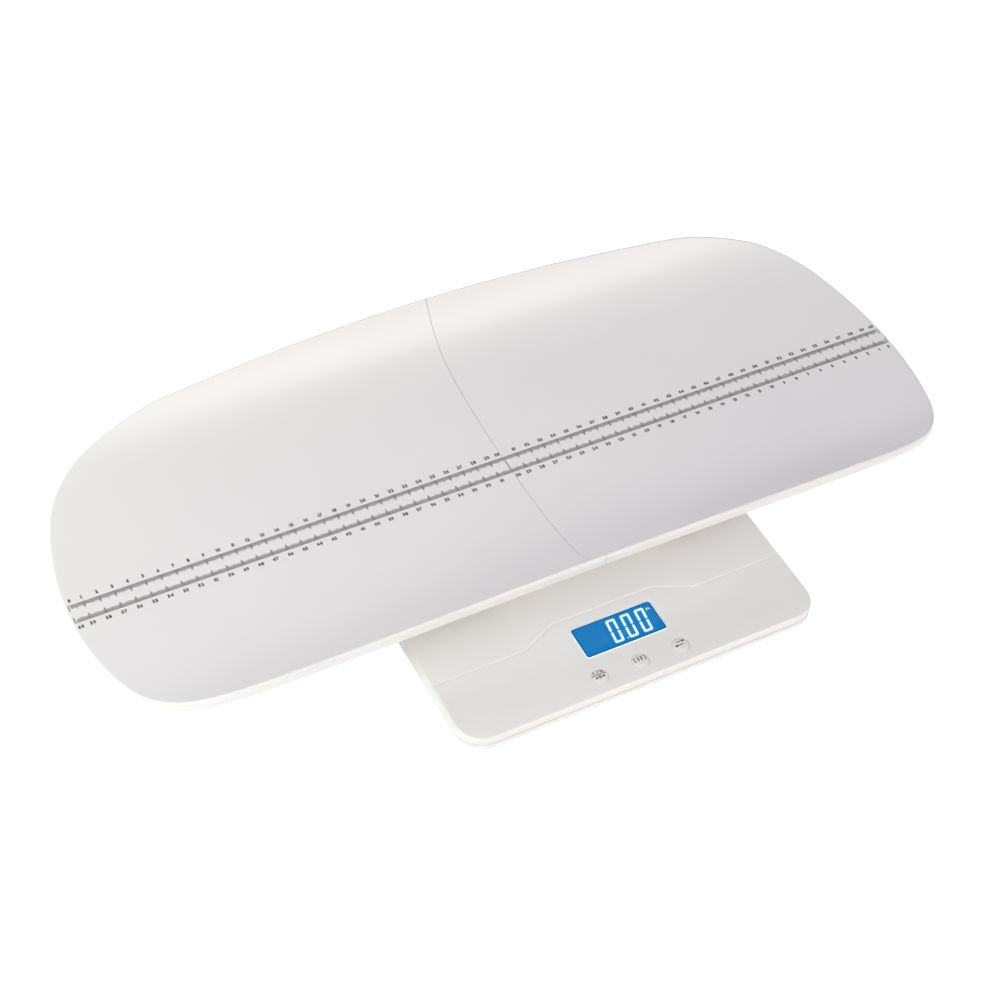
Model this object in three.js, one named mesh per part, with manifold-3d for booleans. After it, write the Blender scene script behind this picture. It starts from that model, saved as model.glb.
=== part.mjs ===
// A digital baby weighing scale, in millimetres, +Z up, standing on z = 0.
// A trough-shaped tray in two halves rests on a low platform scale. Two rails under each
// half drop into channels in the platform, and two flat tongues join the halves under the
// seam. The platform is a ribbed cover screwed to a pan. It holds a display, three sprung
// buttons, a circuit board, four load cells with their feet, and a battery bay.
// X runs along the tray, and -Y is the display side.

import * as THREE from 'three';
import { mergeVertices } from 'three/addons/utils/BufferGeometryUtils.js';
import Module from 'manifold-3d';

const wasm = await Module();
wasm.setup();

// Clearances
const fitGap = 0.3;
const seamGap = 0.3;
const cutOverrun = 2;
const weldDistance = 0.0001;

// Tray
const trayLength = 606;
const trayWidth = 254.2;
const trayRise = 42.4;
const trayWall = 2.4;
const rimLand = 1.8;
const skirtHeight = 7.4;
const skirtWall = 2.6;
const shoulderRadius = 230;
const cornerRadius = 66.5;
const outlineTurnShares = [0.037, 0.168, 0.581, 0.214];
const outlineArcSteps = [5, 5, 9, 7];
const troughShares = { second: 0.3, fourth: 0.105, eighth: 0.595 };
const troughSteps = 14;

// Rails under the tray and their channels in the platform
const railOffset = 56;
const railWidth = 12;
const railEndMargin = 8;
const railSeamMargin = 8;
const channelDepth = 1.4;

// Tongues that join the two halves, and the sleeves that they lie in
const tongueOffset = 86;
const tongueWidth = 14;
const tongueThickness = 2.4;
const tongueReach = 54;
const sleeveLength = 62;
const sleeveWall = 2.6;
const sleeveFloor = 1.6;
const sleeveLift = 1;

// Platform
const platformWidth = 249;
const platformDepth = 300;
const platformFront = 190;
const platformHeight = 26;
const platformCorner = 18;
const coverEdgeRadius = 2;
const coverWall = 2.5;
const coverSkirt = 6;
const flangeHeight = 3.3;
const flangeStep = 1.4;
const panClearance = 6;
const panInset = 11;
const panEdge = 1.5;
const panWall = 2.2;
const cornerSteps = 6;
const edgeSteps = 3;

// Ribs and screw posts inside the platform
const ribThickness = 1.6;
const ribDepth = 4;
const ribMargin = 7;
const ribClearance = 8.2;
const frontRibBack = 112;
const backRibInset = 65;
const postRadius = 3.6;
const postSplit = 14;
const wellRadius = 5.6;
const wellWall = 1.8;
const screwRadius = 1.3;
const screwHeadRadius = 2.8;
const screwHeadHeight = 1.8;
const screwLength = 12;
const sidePost = { inset: 18.5, back: 40 };
const rearPost = { across: 40, inset: 18 };
const frontPost = { clearance: 8.2, inset: 18 };

// Styling line pressed into the cover round the display
const lineBack = 140.3;
const lineBackMiddle = 129.2;
const lineOuterBend = 60;
const lineInnerBend = 35.5;
const lineWidth = 1;
const lineDepth = 0.5;

// Display
const windowWidth = 56.1;
const windowDepth = 23.6;
const windowCorner = 2.5;
const windowBack = 149.9;
const windowSink = 0.2;
const windowFlange = 2;
const windowFlangeHeight = 1.2;
const panelWidth = 64;
const panelDepth = 31;
const panelHeight = 2.2;
const panelInset = 1.5;
const backlightHeight = 2.9;

// Buttons and their switches
const buttonBack = 177.2;
const buttonSpacing = 28.5;
const buttonRadius = 5.6;
const buttonProud = 0.6;
const buttonEdge = 0.5;
const buttonDome = 0.25;
const buttonFlange = 1.6;
const buttonFlangeHeight = 0.7;
const buttonTravel = 0.8;
const switchSize = 6;
const switchHeight = 3.5;
const switchFloor = 0.7;
const plungerRadius = 1.7;
const plungerSpare = 0.2;

// Circuit board
const boardClearance = 8;
const boardDepth = 56;
const boardThickness = 1.6;
const boardCorner = 3;
const boardBack = 154;
const boardPostMargin = 5;
const boardPostInset = 4;
const boardPostRadius = 3;
const boardScrewRadius = 1.1;
const boardScrewHead = 2.2;
const boardScrewHeadHeight = 1.3;
const boardScrewLength = 6;
const boardPinProud = 1;
const chipRadius = 6;
const chipHeight = 1.6;
const chipAhead = 14;
const chipAcross = 24;
const plugWidth = 38;
const plugDepth = 7;
const plugHeight = 3.6;
const plugLip = 1;
const plugInset = 2.5;
const plugPitch = 6;

// Load cells, brackets and feet
const footInset = 36;
const footRadius = 19;
const footClearance = 1.2;
const footHeight = 7.4;
const footDish = 1.6;
const footBossRadius = 5;
const footHoleGap = 1;
const collarHeight = 1.5;
const collarWall = 2;
const padRadius = 15;
const padSink = 1.2;
const padEdge = 0.6;
const cellSize = 34;
const cellHeight = 3;
const cellLift = 12.5;
const cellSlot = 2.2;
const cellFrame = 5;
const cellTongue = 15;
const cellCorner = 3;
const bracketWall = 3;
const bracketBore = 13;
const bracketHook = 8;
const bracketDrop = 2.6;

// Battery bay, door and cells
const bayAhead = 20;
const bayWall = 2;
const bayCrown = 0.6;
const batteryRadius = 5.25;
const batteryLength = 43.7;
const batteryShoulder = 0.6;
const nubRadius = 1.9;
const nubLength = 0.8;
const batterySpace = 0.8;
const springLength = 5.2;
const springStartRadius = 3.6;
const springEndRadius = 2.1;
const springWire = 0.35;
const springTurns = 4;
const springStepsPerTurn = 8;
const springSides = 5;
const contactThickness = 0.4;
const contactHeight = 8;
const contactWidth = 8.6;
const doorOverlap = 2;
const doorThickness = 1.8;
const doorTabWidth = 16;
const doorTabLength = 9;
const doorTabSlot = 0.9;
const doorGripMargin = 2;
const doorGripDepth = 1;
const doorGripSink = 0.5;
const doorGripCount = 3;
const doorGripPitch = 2.2;
const scoopDepth = 6;
const scoopSink = 1.2;

// Wires inside the platform
const wireRadius = 0.8;
const wireSides = 8;
const wireSteps = 12;
const wireLevel = 11;
const wireBend = 12;
const wireStraight = 3;
const wireCount = 6;

// Round detail
const fineSides = 24;
const roundSides = 16;
const screwSides = 10;

const quarterTurn = Math.PI / 2;
const fullTurn = 2 * Math.PI;

// Levels and places that follow from the sizes above
const frontEdge = -platformFront;
const rearEdge = platformDepth - platformFront;
const platformMiddle = (frontEdge + rearEdge) / 2;
const ceiling = platformHeight - coverWall;
const skirtBottom = platformHeight - coverSkirt;
const flangeTop = skirtBottom - fitGap;
const flangeBottom = flangeTop - flangeHeight;
const panFloor = panClearance + panWall;
const troughFloor = platformHeight + fitGap + trayWall;
const rimLevel = troughFloor + trayRise;
const crestHalf = trayWidth / 2 - rimLand;
const railBottom = platformHeight - channelDepth + fitGap;
const sleeveBottom = platformHeight + sleeveLift;
const slotBottom = sleeveBottom + sleeveFloor;
const windowTop = platformHeight - windowSink;
const windowBottom = ceiling - fitGap - windowFlangeHeight;
const panelTop = windowBottom - fitGap;
const backlightTop = panelTop - panelHeight - fitGap;
const boardTop = backlightTop - backlightHeight - fitGap;
const boardBottom = boardTop - boardThickness;
const buttonFlangeTop = ceiling - fitGap;
const buttonBottom = buttonFlangeTop - buttonFlangeHeight;
const plungerTop = buttonBottom - fitGap;
const switchBottom = boardTop + fitGap;
const cellTop = cellLift + cellHeight;
const footAcross = platformWidth / 2 - footInset;
const footFrontY = frontEdge + footInset;
const footRearY = rearEdge - footInset;
const bracketHalf = cellSize / 2 + fitGap + bracketWall;
const ribAcross = footAcross - bracketHalf - ribClearance;
const frontPostAcross = footAcross - bracketHalf - frontPost.clearance;
const boardWidth = 2 * (frontPostAcross - boardClearance);
const holeRadius = footRadius + footHoleGap;
const batteryTotal = batteryLength + nubLength;
const bayInnerLength = batteryTotal + springLength + 2 * (contactThickness + fitGap);
const bayInnerDepth = 4 * batteryRadius + 3 * batterySpace;
const bayFloor = panClearance + doorThickness + fitGap;
const batteryLevel = bayFloor + batteryRadius + fitGap;
const bayCeiling = batteryLevel + batteryRadius + bayCrown;
const bayOuterLength = bayInnerLength + 2 * (doorOverlap + fitGap + bayWall);
const bayOuterDepth = bayInnerDepth + 2 * (doorOverlap + fitGap + bayWall);
const doorLength = bayInnerLength + 2 * doorOverlap;
const doorDepth = bayInnerDepth + 2 * doorOverlap;
const plugBack = boardBack - boardDepth / 2 + plugInset + plugDepth / 2;
const wireLane = (bayOuterLength / 2 + footAcross - bracketHalf) / 2;

// Looks, one for each material of the product
const looks = {
  trayShell: { color: 0xe9e8e6, roughness: 0.34, metalness: 0 },
  casing: { color: 0xe4e1dd, roughness: 0.42, metalness: 0 },
  keycap: { color: 0xe2dfdb, roughness: 0.45, metalness: 0 },
  clearWindow: { color: 0x9cc8ea, roughness: 0.06, metalness: 0 },
  displayGlass: { color: 0x1c7bc8, roughness: 0.2, metalness: 0 },
  lightGuide: { color: 0xdfeaf4, roughness: 0.4, metalness: 0 },
  board: { color: 0x2c6e49, roughness: 0.5, metalness: 0 },
  blackNylon: { color: 0x26282a, roughness: 0.55, metalness: 0 },
  whiteNylon: { color: 0xd9d9d4, roughness: 0.5, metalness: 0 },
  steel: { color: 0xb4b7ba, roughness: 0.35, metalness: 1 },
  rubber: { color: 0x3a3b3d, roughness: 0.85, metalness: 0 },
  batteryJacket: { color: 0x4a5560, roughness: 0.35, metalness: 0.4 },
  wireJacket: { color: 0x8c2f2b, roughness: 0.6, metalness: 0 },
};

// Turns a closed geometry into a solid that can be joined and cut
function solidOf(geometry) {
  const bare = geometry.clone();
  bare.deleteAttribute('normal');
  bare.deleteAttribute('uv');
  const merged = mergeVertices(bare, weldDistance);
  const corners = merged.index.array;
  const kept = [];
  for (let i = 0; i < corners.length; i += 3) {
    const [a, b, c] = [corners[i], corners[i + 1], corners[i + 2]];
    if (a !== b && b !== c && c !== a) kept.push(a, b, c);
  }
  return new wasm.Manifold(new wasm.Mesh({
    numProp: 3,
    vertProperties: new Float32Array(merged.attributes.position.array),
    triVerts: new Uint32Array(kept),
  }));
}

// Turns a solid back into a geometry with flat faces
function geometryOf(solid) {
  const mesh = solid.getMesh();
  const geometry = new THREE.BufferGeometry();
  geometry.setAttribute('position', new THREE.BufferAttribute(new Float32Array(mesh.vertProperties), 3));
  geometry.setIndex(new THREE.BufferAttribute(new Uint32Array(mesh.triVerts), 1));
  const flat = geometry.toNonIndexed();
  flat.computeVertexNormals();
  return flat;
}

// An upright prism over a ring of points, or over a shape with holes
function prism(outline, bottom, top) {
  const shape = Array.isArray(outline) ? new THREE.Shape(outline) : outline;
  const geometry = new THREE.ExtrudeGeometry(shape, { depth: top - bottom, bevelEnabled: false });
  geometry.translate(0, 0, bottom);
  return solidOf(geometry);
}

// A section drawn in Y and Z, drawn out along X
function barAlongX(points, start, end) {
  const geometry = new THREE.ExtrudeGeometry(new THREE.Shape(points), {
    depth: end - start,
    bevelEnabled: false,
  });
  geometry.applyMatrix4(new THREE.Matrix4().makeBasis(
    new THREE.Vector3(0, 1, 0),
    new THREE.Vector3(0, 0, 1),
    new THREE.Vector3(1, 0, 0),
  ));
  geometry.translate(start, 0, 0);
  return solidOf(geometry);
}

// A block between two corners
function block(low, high) {
  const geometry = new THREE.BoxGeometry(high[0] - low[0], high[1] - low[1], high[2] - low[2]);
  geometry.translate((low[0] + high[0]) / 2, (low[1] + high[1]) / 2, (low[2] + high[2]) / 2);
  return solidOf(geometry);
}

// A turned piece about the upright axis at x and y, from a profile of radii and levels
function turned(profile, sides, x = 0, y = 0) {
  const points = profile.map(([radius, level]) => new THREE.Vector2(radius, level));
  const geometry = new THREE.LatheGeometry(points, sides);
  geometry.rotateX(quarterTurn);
  geometry.translate(x, y, 0);
  return solidOf(geometry);
}

// An upright round bar
function disc(radius, bottom, top, sides, x = 0, y = 0) {
  return turned([[0, bottom], [radius, bottom], [radius, top], [0, top]], sides, x, y);
}

// A ring of points round a rectangle with round corners
function roundedRing(width, depth, radius, steps, x = 0, y = 0) {
  const points = [];
  for (let corner = 0; corner < 4; corner += 1) {
    const signX = corner === 0 || corner === 3 ? 1 : -1;
    const signY = corner < 2 ? 1 : -1;
    const centreX = x + signX * (width / 2 - radius);
    const centreY = y + signY * (depth / 2 - radius);
    for (let step = 0; step <= steps; step += 1) {
      const angle = (corner + step / steps) * quarterTurn;
      const across = centreX + radius * Math.cos(angle);
      const along = centreY + radius * Math.sin(angle);
      points.push(new THREE.Vector2(across, along));
    }
  }
  return points;
}

// A closed body through a stack of rings that have equal counts of points
function loft(layers) {
  const positions = [];
  const index = [];
  const count = layers[0].ring.length;
  for (const { ring, level } of layers) {
    ring.forEach((point) => positions.push(point.x, point.y, level));
  }
  for (let layer = 0; layer < layers.length - 1; layer += 1) {
    for (let i = 0; i < count; i += 1) {
      const a = layer * count + i;
      const b = layer * count + ((i + 1) % count);
      index.push(a, b, b + count, a, b + count, a + count);
    }
  }
  for (const [layer, isTop] of [[0, false], [layers.length - 1, true]]) {
    const { ring, level } = layers[layer];
    const centre = positions.length / 3;
    const middle = ring.reduce((sum, point) => sum.add(point), new THREE.Vector2()).divideScalar(count);
    positions.push(middle.x, middle.y, level);
    for (let i = 0; i < count; i += 1) {
      const a = layer * count + i;
      const b = layer * count + ((i + 1) % count);
      index.push(...(isTop ? [centre, a, b] : [centre, b, a]));
    }
  }
  const geometry = new THREE.BufferGeometry();
  geometry.setAttribute('position', new THREE.Float32BufferAttribute(positions, 3));
  geometry.setIndex(index);
  return solidOf(geometry);
}

// Joins a list of solids
function joined(solids) {
  return solids.reduce((sum, solid) => sum.add(solid));
}

const scale = new THREE.Group();

// Adds one named piece, at a place if one is given
function addPiece(name, shape, look, x = 0, y = 0, z = 0) {
  const geometry = shape.isBufferGeometry ? shape : geometryOf(shape);
  const mesh = new THREE.Mesh(geometry, new THREE.MeshStandardMaterial(looks[look]));
  mesh.name = name;
  mesh.position.set(x, y, z);
  scale.add(mesh);
  return mesh;
}

// The four arcs of a quarter of the tray's outline, from the middle of a long side to the
// middle of an end. The corner and shoulder radii are given, and the flat arcs of the side
// and the end follow from the length and the width.
function outlineArcs() {
  const angles = [quarterTurn];
  for (const share of outlineTurnShares) {
    angles.push(angles[angles.length - 1] - share * quarterTurn);
  }
  const runX = (arc) => Math.cos(angles[arc + 1]) - Math.cos(angles[arc]);
  const runY = (arc) => Math.sin(angles[arc]) - Math.sin(angles[arc + 1]);
  const restX = trayLength / 2 - shoulderRadius * runX(1) - cornerRadius * runX(2);
  const restY = trayWidth / 2 - shoulderRadius * runY(1) - cornerRadius * runY(2);
  const spread = runX(0) * runY(3) - runX(3) * runY(0);
  const sideRadius = (restX * runY(3) - runX(3) * restY) / spread;
  const endRadius = (runX(0) * restY - restX * runY(0)) / spread;
  return { angles, radii: [sideRadius, shoulderRadius, cornerRadius, endRadius] };
}

// The tray's outline as a ring of points, drawn in all round by the inset
function trayOutline(inset) {
  const { angles, radii } = outlineArcs();
  const quarter = [new THREE.Vector2(0, trayWidth / 2 - inset)];
  radii.forEach((fullRadius, arc) => {
    const radius = fullRadius - inset;
    const start = quarter[quarter.length - 1];
    const centreX = start.x - radius * Math.cos(angles[arc]);
    const centreY = start.y - radius * Math.sin(angles[arc]);
    for (let step = 1; step <= outlineArcSteps[arc]; step += 1) {
      const angle = angles[arc] + (angles[arc + 1] - angles[arc]) * (step / outlineArcSteps[arc]);
      const x = centreX + radius * Math.cos(angle);
      const y = centreY + radius * Math.sin(angle);
      quarter.push(new THREE.Vector2(x, y));
    }
  });
  quarter[quarter.length - 1].y = 0;
  const ring = [];
  const inner = quarter.slice(1, -1);
  ring.push(quarter[quarter.length - 1].clone());
  inner.slice().reverse().forEach((point) => ring.push(point.clone()));
  ring.push(quarter[0].clone());
  inner.forEach((point) => ring.push(new THREE.Vector2(-point.x, point.y)));
  ring.push(new THREE.Vector2(-quarter[quarter.length - 1].x, 0));
  inner.slice().reverse().forEach((point) => ring.push(new THREE.Vector2(-point.x, -point.y)));
  ring.push(new THREE.Vector2(0, -quarter[0].y));
  inner.forEach((point) => ring.push(new THREE.Vector2(point.x, -point.y)));
  return ring;
}

// A line across the trough in Y and Z: the lying surface sunk square to itself by the depth
// and then lowered by the drop, carried out flat past the rim
function troughLine(depth, drop) {
  const points = [];
  for (let step = -troughSteps; step <= troughSteps; step += 1) {
    const side = Math.sign(step);
    const reach = Math.sin((Math.abs(step) / troughSteps) * quarterTurn);
    const rise = trayRise * (troughShares.second * reach ** 2
      + troughShares.fourth * reach ** 4 + troughShares.eighth * reach ** 8);
    const slope = (trayRise / crestHalf) * (2 * troughShares.second * reach
      + 4 * troughShares.fourth * reach ** 3 + 8 * troughShares.eighth * reach ** 7);
    const run = Math.hypot(1, slope);
    const across = side * (crestHalf * reach + (depth * slope) / run);
    const level = Math.min(rise - depth / run, trayRise - depth) - drop;
    points.push(new THREE.Vector2(across, troughFloor + level));
  }
  const outer = trayWidth / 2 + cutOverrun;
  const edgeLevel = rimLevel - depth - drop;
  return [new THREE.Vector2(-outer, edgeLevel), ...points, new THREE.Vector2(outer, edgeLevel)];
}

// The area under a trough line, down to a given level
function areaUnder(line, low) {
  const outer = trayWidth / 2 + cutOverrun;
  return [...line, new THREE.Vector2(outer, low), new THREE.Vector2(-outer, low)];
}

// One half of the tray: the trough cut to the outline, with a skirt turned down all round
// the rim, two rails that stand on the platform and two sleeves for the tongues
function trayHalf(side) {
  const tip = trayLength / 2 + cutOverrun;
  const span = (near, far) => (side > 0 ? [near, far] : [-far, -near]);
  const [start, end] = span(seamGap / 2, tip);
  const [hollowStart, hollowEnd] = span(-cutOverrun, tip);
  const low = 0;
  const high = rimLevel + cutOverrun;
  const band = [...troughLine(0, 0), ...troughLine(0, skirtHeight).reverse()];
  const blank = prism(trayOutline(0), low, high).intersect(barAlongX(band, start, end));
  const hollow = prism(trayOutline(skirtWall), low, high)
    .intersect(barAlongX(areaUnder(troughLine(trayWall, 0), low), hollowStart, hollowEnd));
  const underSkin = barAlongX(areaUnder(troughLine(trayWall / 2, 0), low), start, end);
  let half = blank.subtract(hollow);
  for (const edge of [-1, 1]) {
    const railMiddle = edge * railOffset;
    const [railStart, railEnd] = span(railSeamMargin, platformWidth / 2 - railEndMargin);
    const rail = block(
      [railStart, railMiddle - railWidth / 2, railBottom],
      [railEnd, railMiddle + railWidth / 2, rimLevel],
    );
    const sleeveMiddle = edge * tongueOffset;
    const sleeveHalf = tongueWidth / 2 + fitGap + sleeveWall;
    const [sleeveStart, sleeveEnd] = span(seamGap / 2, sleeveLength);
    const sleeve = block(
      [sleeveStart, sleeveMiddle - sleeveHalf, sleeveBottom],
      [sleeveEnd, sleeveMiddle + sleeveHalf, rimLevel],
    );
    const slotHalf = tongueWidth / 2 + fitGap;
    const [slotStart, slotEnd] = span(-cutOverrun, sleeveLength + cutOverrun);
    const slot = block(
      [slotStart, sleeveMiddle - slotHalf, slotBottom],
      [slotEnd, sleeveMiddle + slotHalf, slotBottom + tongueThickness + 2 * fitGap],
    );
    half = half.add(rail.intersect(underSkin)).add(sleeve.intersect(underSkin)).subtract(slot);
  }
  return half;
}

// A flat joining tongue with round ends
function joiningTongue() {
  const ring = roundedRing(2 * tongueReach, tongueWidth, tongueWidth / 4, cornerSteps / 2);
  return prism(ring, slotBottom + fitGap, slotBottom + fitGap + tongueThickness);
}

addPiece('tray_left', trayHalf(-1), 'trayShell');
addPiece('tray_right', trayHalf(1), 'trayShell');
addPiece('join_tongue_front', joiningTongue(), 'whiteNylon', 0, -tongueOffset, 0);
addPiece('join_tongue_back', joiningTongue(), 'whiteNylon', 0, tongueOffset, 0);

// A ring round the platform, drawn in by the inset
function platformRing(inset) {
  return roundedRing(
    platformWidth - 2 * inset,
    platformDepth - 2 * inset,
    platformCorner - inset,
    cornerSteps,
    0,
    platformMiddle,
  );
}

// Places of the six posts that hold the cover and the pan together
const postPlaces = [];
for (const [side, word] of [[-1, 'left'], [1, 'right']]) {
  const sideX = side * (platformWidth / 2 - sidePost.inset);
  postPlaces.push({ name: `side_${word}`, x: sideX, y: -sidePost.back });
  postPlaces.push({ name: `rear_${word}`, x: side * rearPost.across, y: rearEdge - rearPost.inset });
  postPlaces.push({ name: `front_${word}`, x: side * frontPostAcross, y: frontEdge + frontPost.inset });
}

// Places of the four board posts and of the four feet. The front board posts stand between
// the buttons and take screws, and the back ones end in pins that pass through the board.
const boardPostPlaces = [];
const footPlaces = [];
for (const [side, word] of [[-1, 'left'], [1, 'right']]) {
  for (const end of [-1, 1]) {
    const boardX = end < 0 ? buttonSpacing / 2 : boardWidth / 2 - boardPostMargin;
    const boardY = -boardBack + end * (boardDepth / 2 - boardPostInset);
    boardPostPlaces.push({ name: word, x: side * boardX, y: boardY, isPin: end > 0 });
    footPlaces.push({
      name: `${end < 0 ? 'front' : 'back'}_${word}`,
      side,
      end,
      x: side * footAcross,
      y: end < 0 ? footFrontY : footRearY,
    });
  }
}

const buttons = [
  { name: 'power', x: -buttonSpacing },
  { name: 'hold', x: 0 },
  { name: 'unit', x: buttonSpacing },
];

// The styling line: parallel to the front, stepped back behind the display
function stylingLine() {
  const outer = platformWidth / 2 + cutOverrun;
  const bends = [
    [-outer, -lineBack],
    [-lineOuterBend, -lineBack],
    [-lineInnerBend, -lineBackMiddle],
    [lineInnerBend, -lineBackMiddle],
    [lineOuterBend, -lineBack],
    [outer, -lineBack],
  ];
  const far = bends.map(([x, y]) => new THREE.Vector2(x, y + lineWidth / 2));
  const near = bends.map(([x, y]) => new THREE.Vector2(x, y - lineWidth / 2)).reverse();
  return prism([...far, ...near], platformHeight - lineDepth, platformHeight + cutOverrun);
}

// The platform's cover: a ribbed shell with a rounded top edge
function platformCover() {
  const layers = [{ ring: platformRing(0), level: skirtBottom }];
  for (let step = 0; step <= edgeSteps; step += 1) {
    const angle = (step / edgeSteps) * quarterTurn;
    const inset = coverEdgeRadius * (1 - Math.cos(angle));
    const level = platformHeight - coverEdgeRadius * (1 - Math.sin(angle));
    layers.push({ ring: platformRing(inset), level });
  }
  const cavity = loft([
    { ring: platformRing(coverWall), level: skirtBottom - cutOverrun },
    { ring: platformRing(coverWall), level: ceiling },
  ]);
  const ribLevel = ceiling - ribDepth;
  const ribRoot = ceiling + coverWall / 4;
  const ribX = platformWidth / 2 - ribMargin;
  const ribs = [];
  for (const side of [-1, 1]) {
    const x = side * ribAcross;
    ribs.push(block(
      [x - ribThickness / 2, -frontRibBack, ribLevel],
      [x + ribThickness / 2, rearEdge - ribMargin, ribRoot],
    ));
  }
  for (const y of [-frontRibBack, rearEdge - backRibInset]) {
    ribs.push(block(
      [-ribX, y - ribThickness / 2, ribLevel],
      [ribX, y + ribThickness / 2, ribRoot],
    ));
  }
  const posts = postPlaces
    .map(({ x, y }) => disc(postRadius, postSplit + fitGap, ribRoot, roundSides, x, y));
  const boardPosts = boardPostPlaces
    .map(({ x, y }) => disc(boardPostRadius, boardTop + fitGap, ribRoot, roundSides, x, y));
  const boardPins = boardPostPlaces
    .filter(({ isPin }) => isPin)
    .map(({ x, y }) => disc(boardScrewRadius, boardBottom - boardPinProud, ribRoot, screwSides, x, y));
  let cover = loft(layers).subtract(cavity).add(joined([...ribs, ...posts, ...boardPosts, ...boardPins]));
  for (const { x, y } of postPlaces) {
    const top = postSplit - wellWall + screwLength;
    cover = cover.subtract(disc(screwRadius + fitGap, postSplit - cutOverrun, top, screwSides, x, y));
  }
  for (const { x, y } of boardPostPlaces.filter(({ isPin }) => !isPin)) {
    const top = boardBottom + boardScrewLength;
    cover = cover.subtract(disc(boardScrewRadius + fitGap, boardTop - cutOverrun, top, screwSides, x, y));
  }
  const windowHole = roundedRing(
    windowWidth + 2 * fitGap,
    windowDepth + 2 * fitGap,
    windowCorner + fitGap,
    edgeSteps,
    0,
    -windowBack,
  );
  cover = cover.subtract(prism(windowHole, ceiling - cutOverrun, platformHeight + cutOverrun));
  for (const { x } of buttons) {
    const low = ceiling - cutOverrun;
    const high = platformHeight + cutOverrun;
    cover = cover.subtract(disc(buttonRadius + fitGap, low, high, fineSides, x, -buttonBack));
  }
  for (const edge of [-1, 1]) {
    const half = railWidth / 2 + fitGap;
    const outer = platformWidth / 2 + cutOverrun;
    cover = cover.subtract(block(
      [-outer, edge * railOffset - half, platformHeight - channelDepth],
      [outer, edge * railOffset + half, platformHeight + cutOverrun],
    ));
  }
  return cover.subtract(stylingLine());
}

// The pan: a flange that continues the cover's wall, drawn in below to a flat underside,
// with four foot holes in low collars, six screw wells and the battery bay
function platformPan() {
  const outside = loft([
    { ring: platformRing(panInset + panEdge), level: panClearance },
    { ring: platformRing(panInset), level: panClearance + panEdge },
    { ring: platformRing(flangeStep), level: flangeBottom },
    { ring: platformRing(0), level: flangeBottom },
    { ring: platformRing(0), level: flangeTop },
  ]);
  const inside = loft([
    { ring: platformRing(panInset + panWall), level: panFloor },
    { ring: platformRing(flangeStep + panWall), level: flangeBottom + panWall / 2 },
    { ring: platformRing(flangeStep + panWall), level: flangeTop + cutOverrun },
  ]);
  let pan = outside.subtract(inside);
  for (const { x, y } of footPlaces) {
    const root = panClearance + panWall / 2;
    pan = pan
      .add(disc(holeRadius + collarWall, root, panFloor + collarHeight, fineSides, x, y))
      .subtract(disc(holeRadius, panClearance - cutOverrun, cellLift, fineSides, x, y));
  }
  for (const { x, y } of postPlaces) {
    const seat = postSplit - wellWall;
    pan = pan
      .add(disc(wellRadius, panClearance + panWall / 2, postSplit, roundSides, x, y))
      .subtract(disc(screwHeadRadius + fitGap, panClearance - cutOverrun, seat, roundSides, x, y))
      .subtract(disc(screwRadius + fitGap, panClearance, postSplit + cutOverrun, screwSides, x, y));
  }
  const bay = block(
    [-bayOuterLength / 2, -bayAhead - bayOuterDepth / 2, panClearance + panWall / 2],
    [bayOuterLength / 2, -bayAhead + bayOuterDepth / 2, bayCeiling + bayWall],
  );
  const room = block(
    [-bayInnerLength / 2, -bayAhead - bayInnerDepth / 2, panClearance - cutOverrun],
    [bayInnerLength / 2, -bayAhead + bayInnerDepth / 2, bayCeiling],
  );
  const recess = block(
    [-doorLength / 2 - fitGap, -bayAhead - doorDepth / 2 - fitGap, panClearance - cutOverrun],
    [doorLength / 2 + fitGap, -bayAhead + doorDepth / 2 + fitGap, bayFloor],
  );
  const scoopBack = -bayAhead - doorDepth / 2;
  const scoop = block(
    [-doorTabWidth / 2, scoopBack - scoopDepth, panClearance - cutOverrun],
    [doorTabWidth / 2, scoopBack, panClearance + scoopSink],
  );
  return pan.add(bay).subtract(room).subtract(recess).subtract(scoop);
}

// A pan-head screw that holds the cover to the pan
function coverScrew() {
  const seat = postSplit - wellWall - fitGap;
  return turned([
    [0, seat - screwHeadHeight],
    [screwHeadRadius - screwHeadHeight / 3, seat - screwHeadHeight],
    [screwHeadRadius, seat - (2 * screwHeadHeight) / 3],
    [screwHeadRadius, seat],
    [screwRadius, seat],
    [screwRadius, seat + screwLength - screwRadius],
    [0, seat + screwLength],
  ], screwSides);
}

addPiece('platform_cover', platformCover(), 'casing');
addPiece('platform_pan', platformPan(), 'casing');
for (const { name, x, y } of postPlaces) {
  addPiece(`cover_screw_${name}`, coverScrew(), 'steel', x, y, 0);
}

// The window: a clear plug with a flange that is held under the cover
function displayWindow() {
  const plug = roundedRing(windowWidth, windowDepth, windowCorner, edgeSteps);
  const flange = roundedRing(
    windowWidth + 2 * windowFlange,
    windowDepth + 2 * windowFlange,
    windowCorner,
    edgeSteps,
  );
  return prism(plug, windowBottom + windowFlangeHeight / 2, windowTop)
    .add(prism(flange, windowBottom, windowBottom + windowFlangeHeight));
}

// The display panel: two sheets of glass, the upper one shorter to leave a contact ledge
function displayPanel() {
  const lower = block(
    [-panelWidth / 2, -panelDepth / 2, panelTop - panelHeight],
    [panelWidth / 2, panelDepth / 2, panelTop - panelHeight / 2],
  );
  const upper = block(
    [-panelWidth / 2, -panelDepth / 2 + panelInset, panelTop - (2 * panelHeight) / 3],
    [panelWidth / 2, panelDepth / 2, panelTop],
  );
  return lower.add(upper);
}

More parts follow.
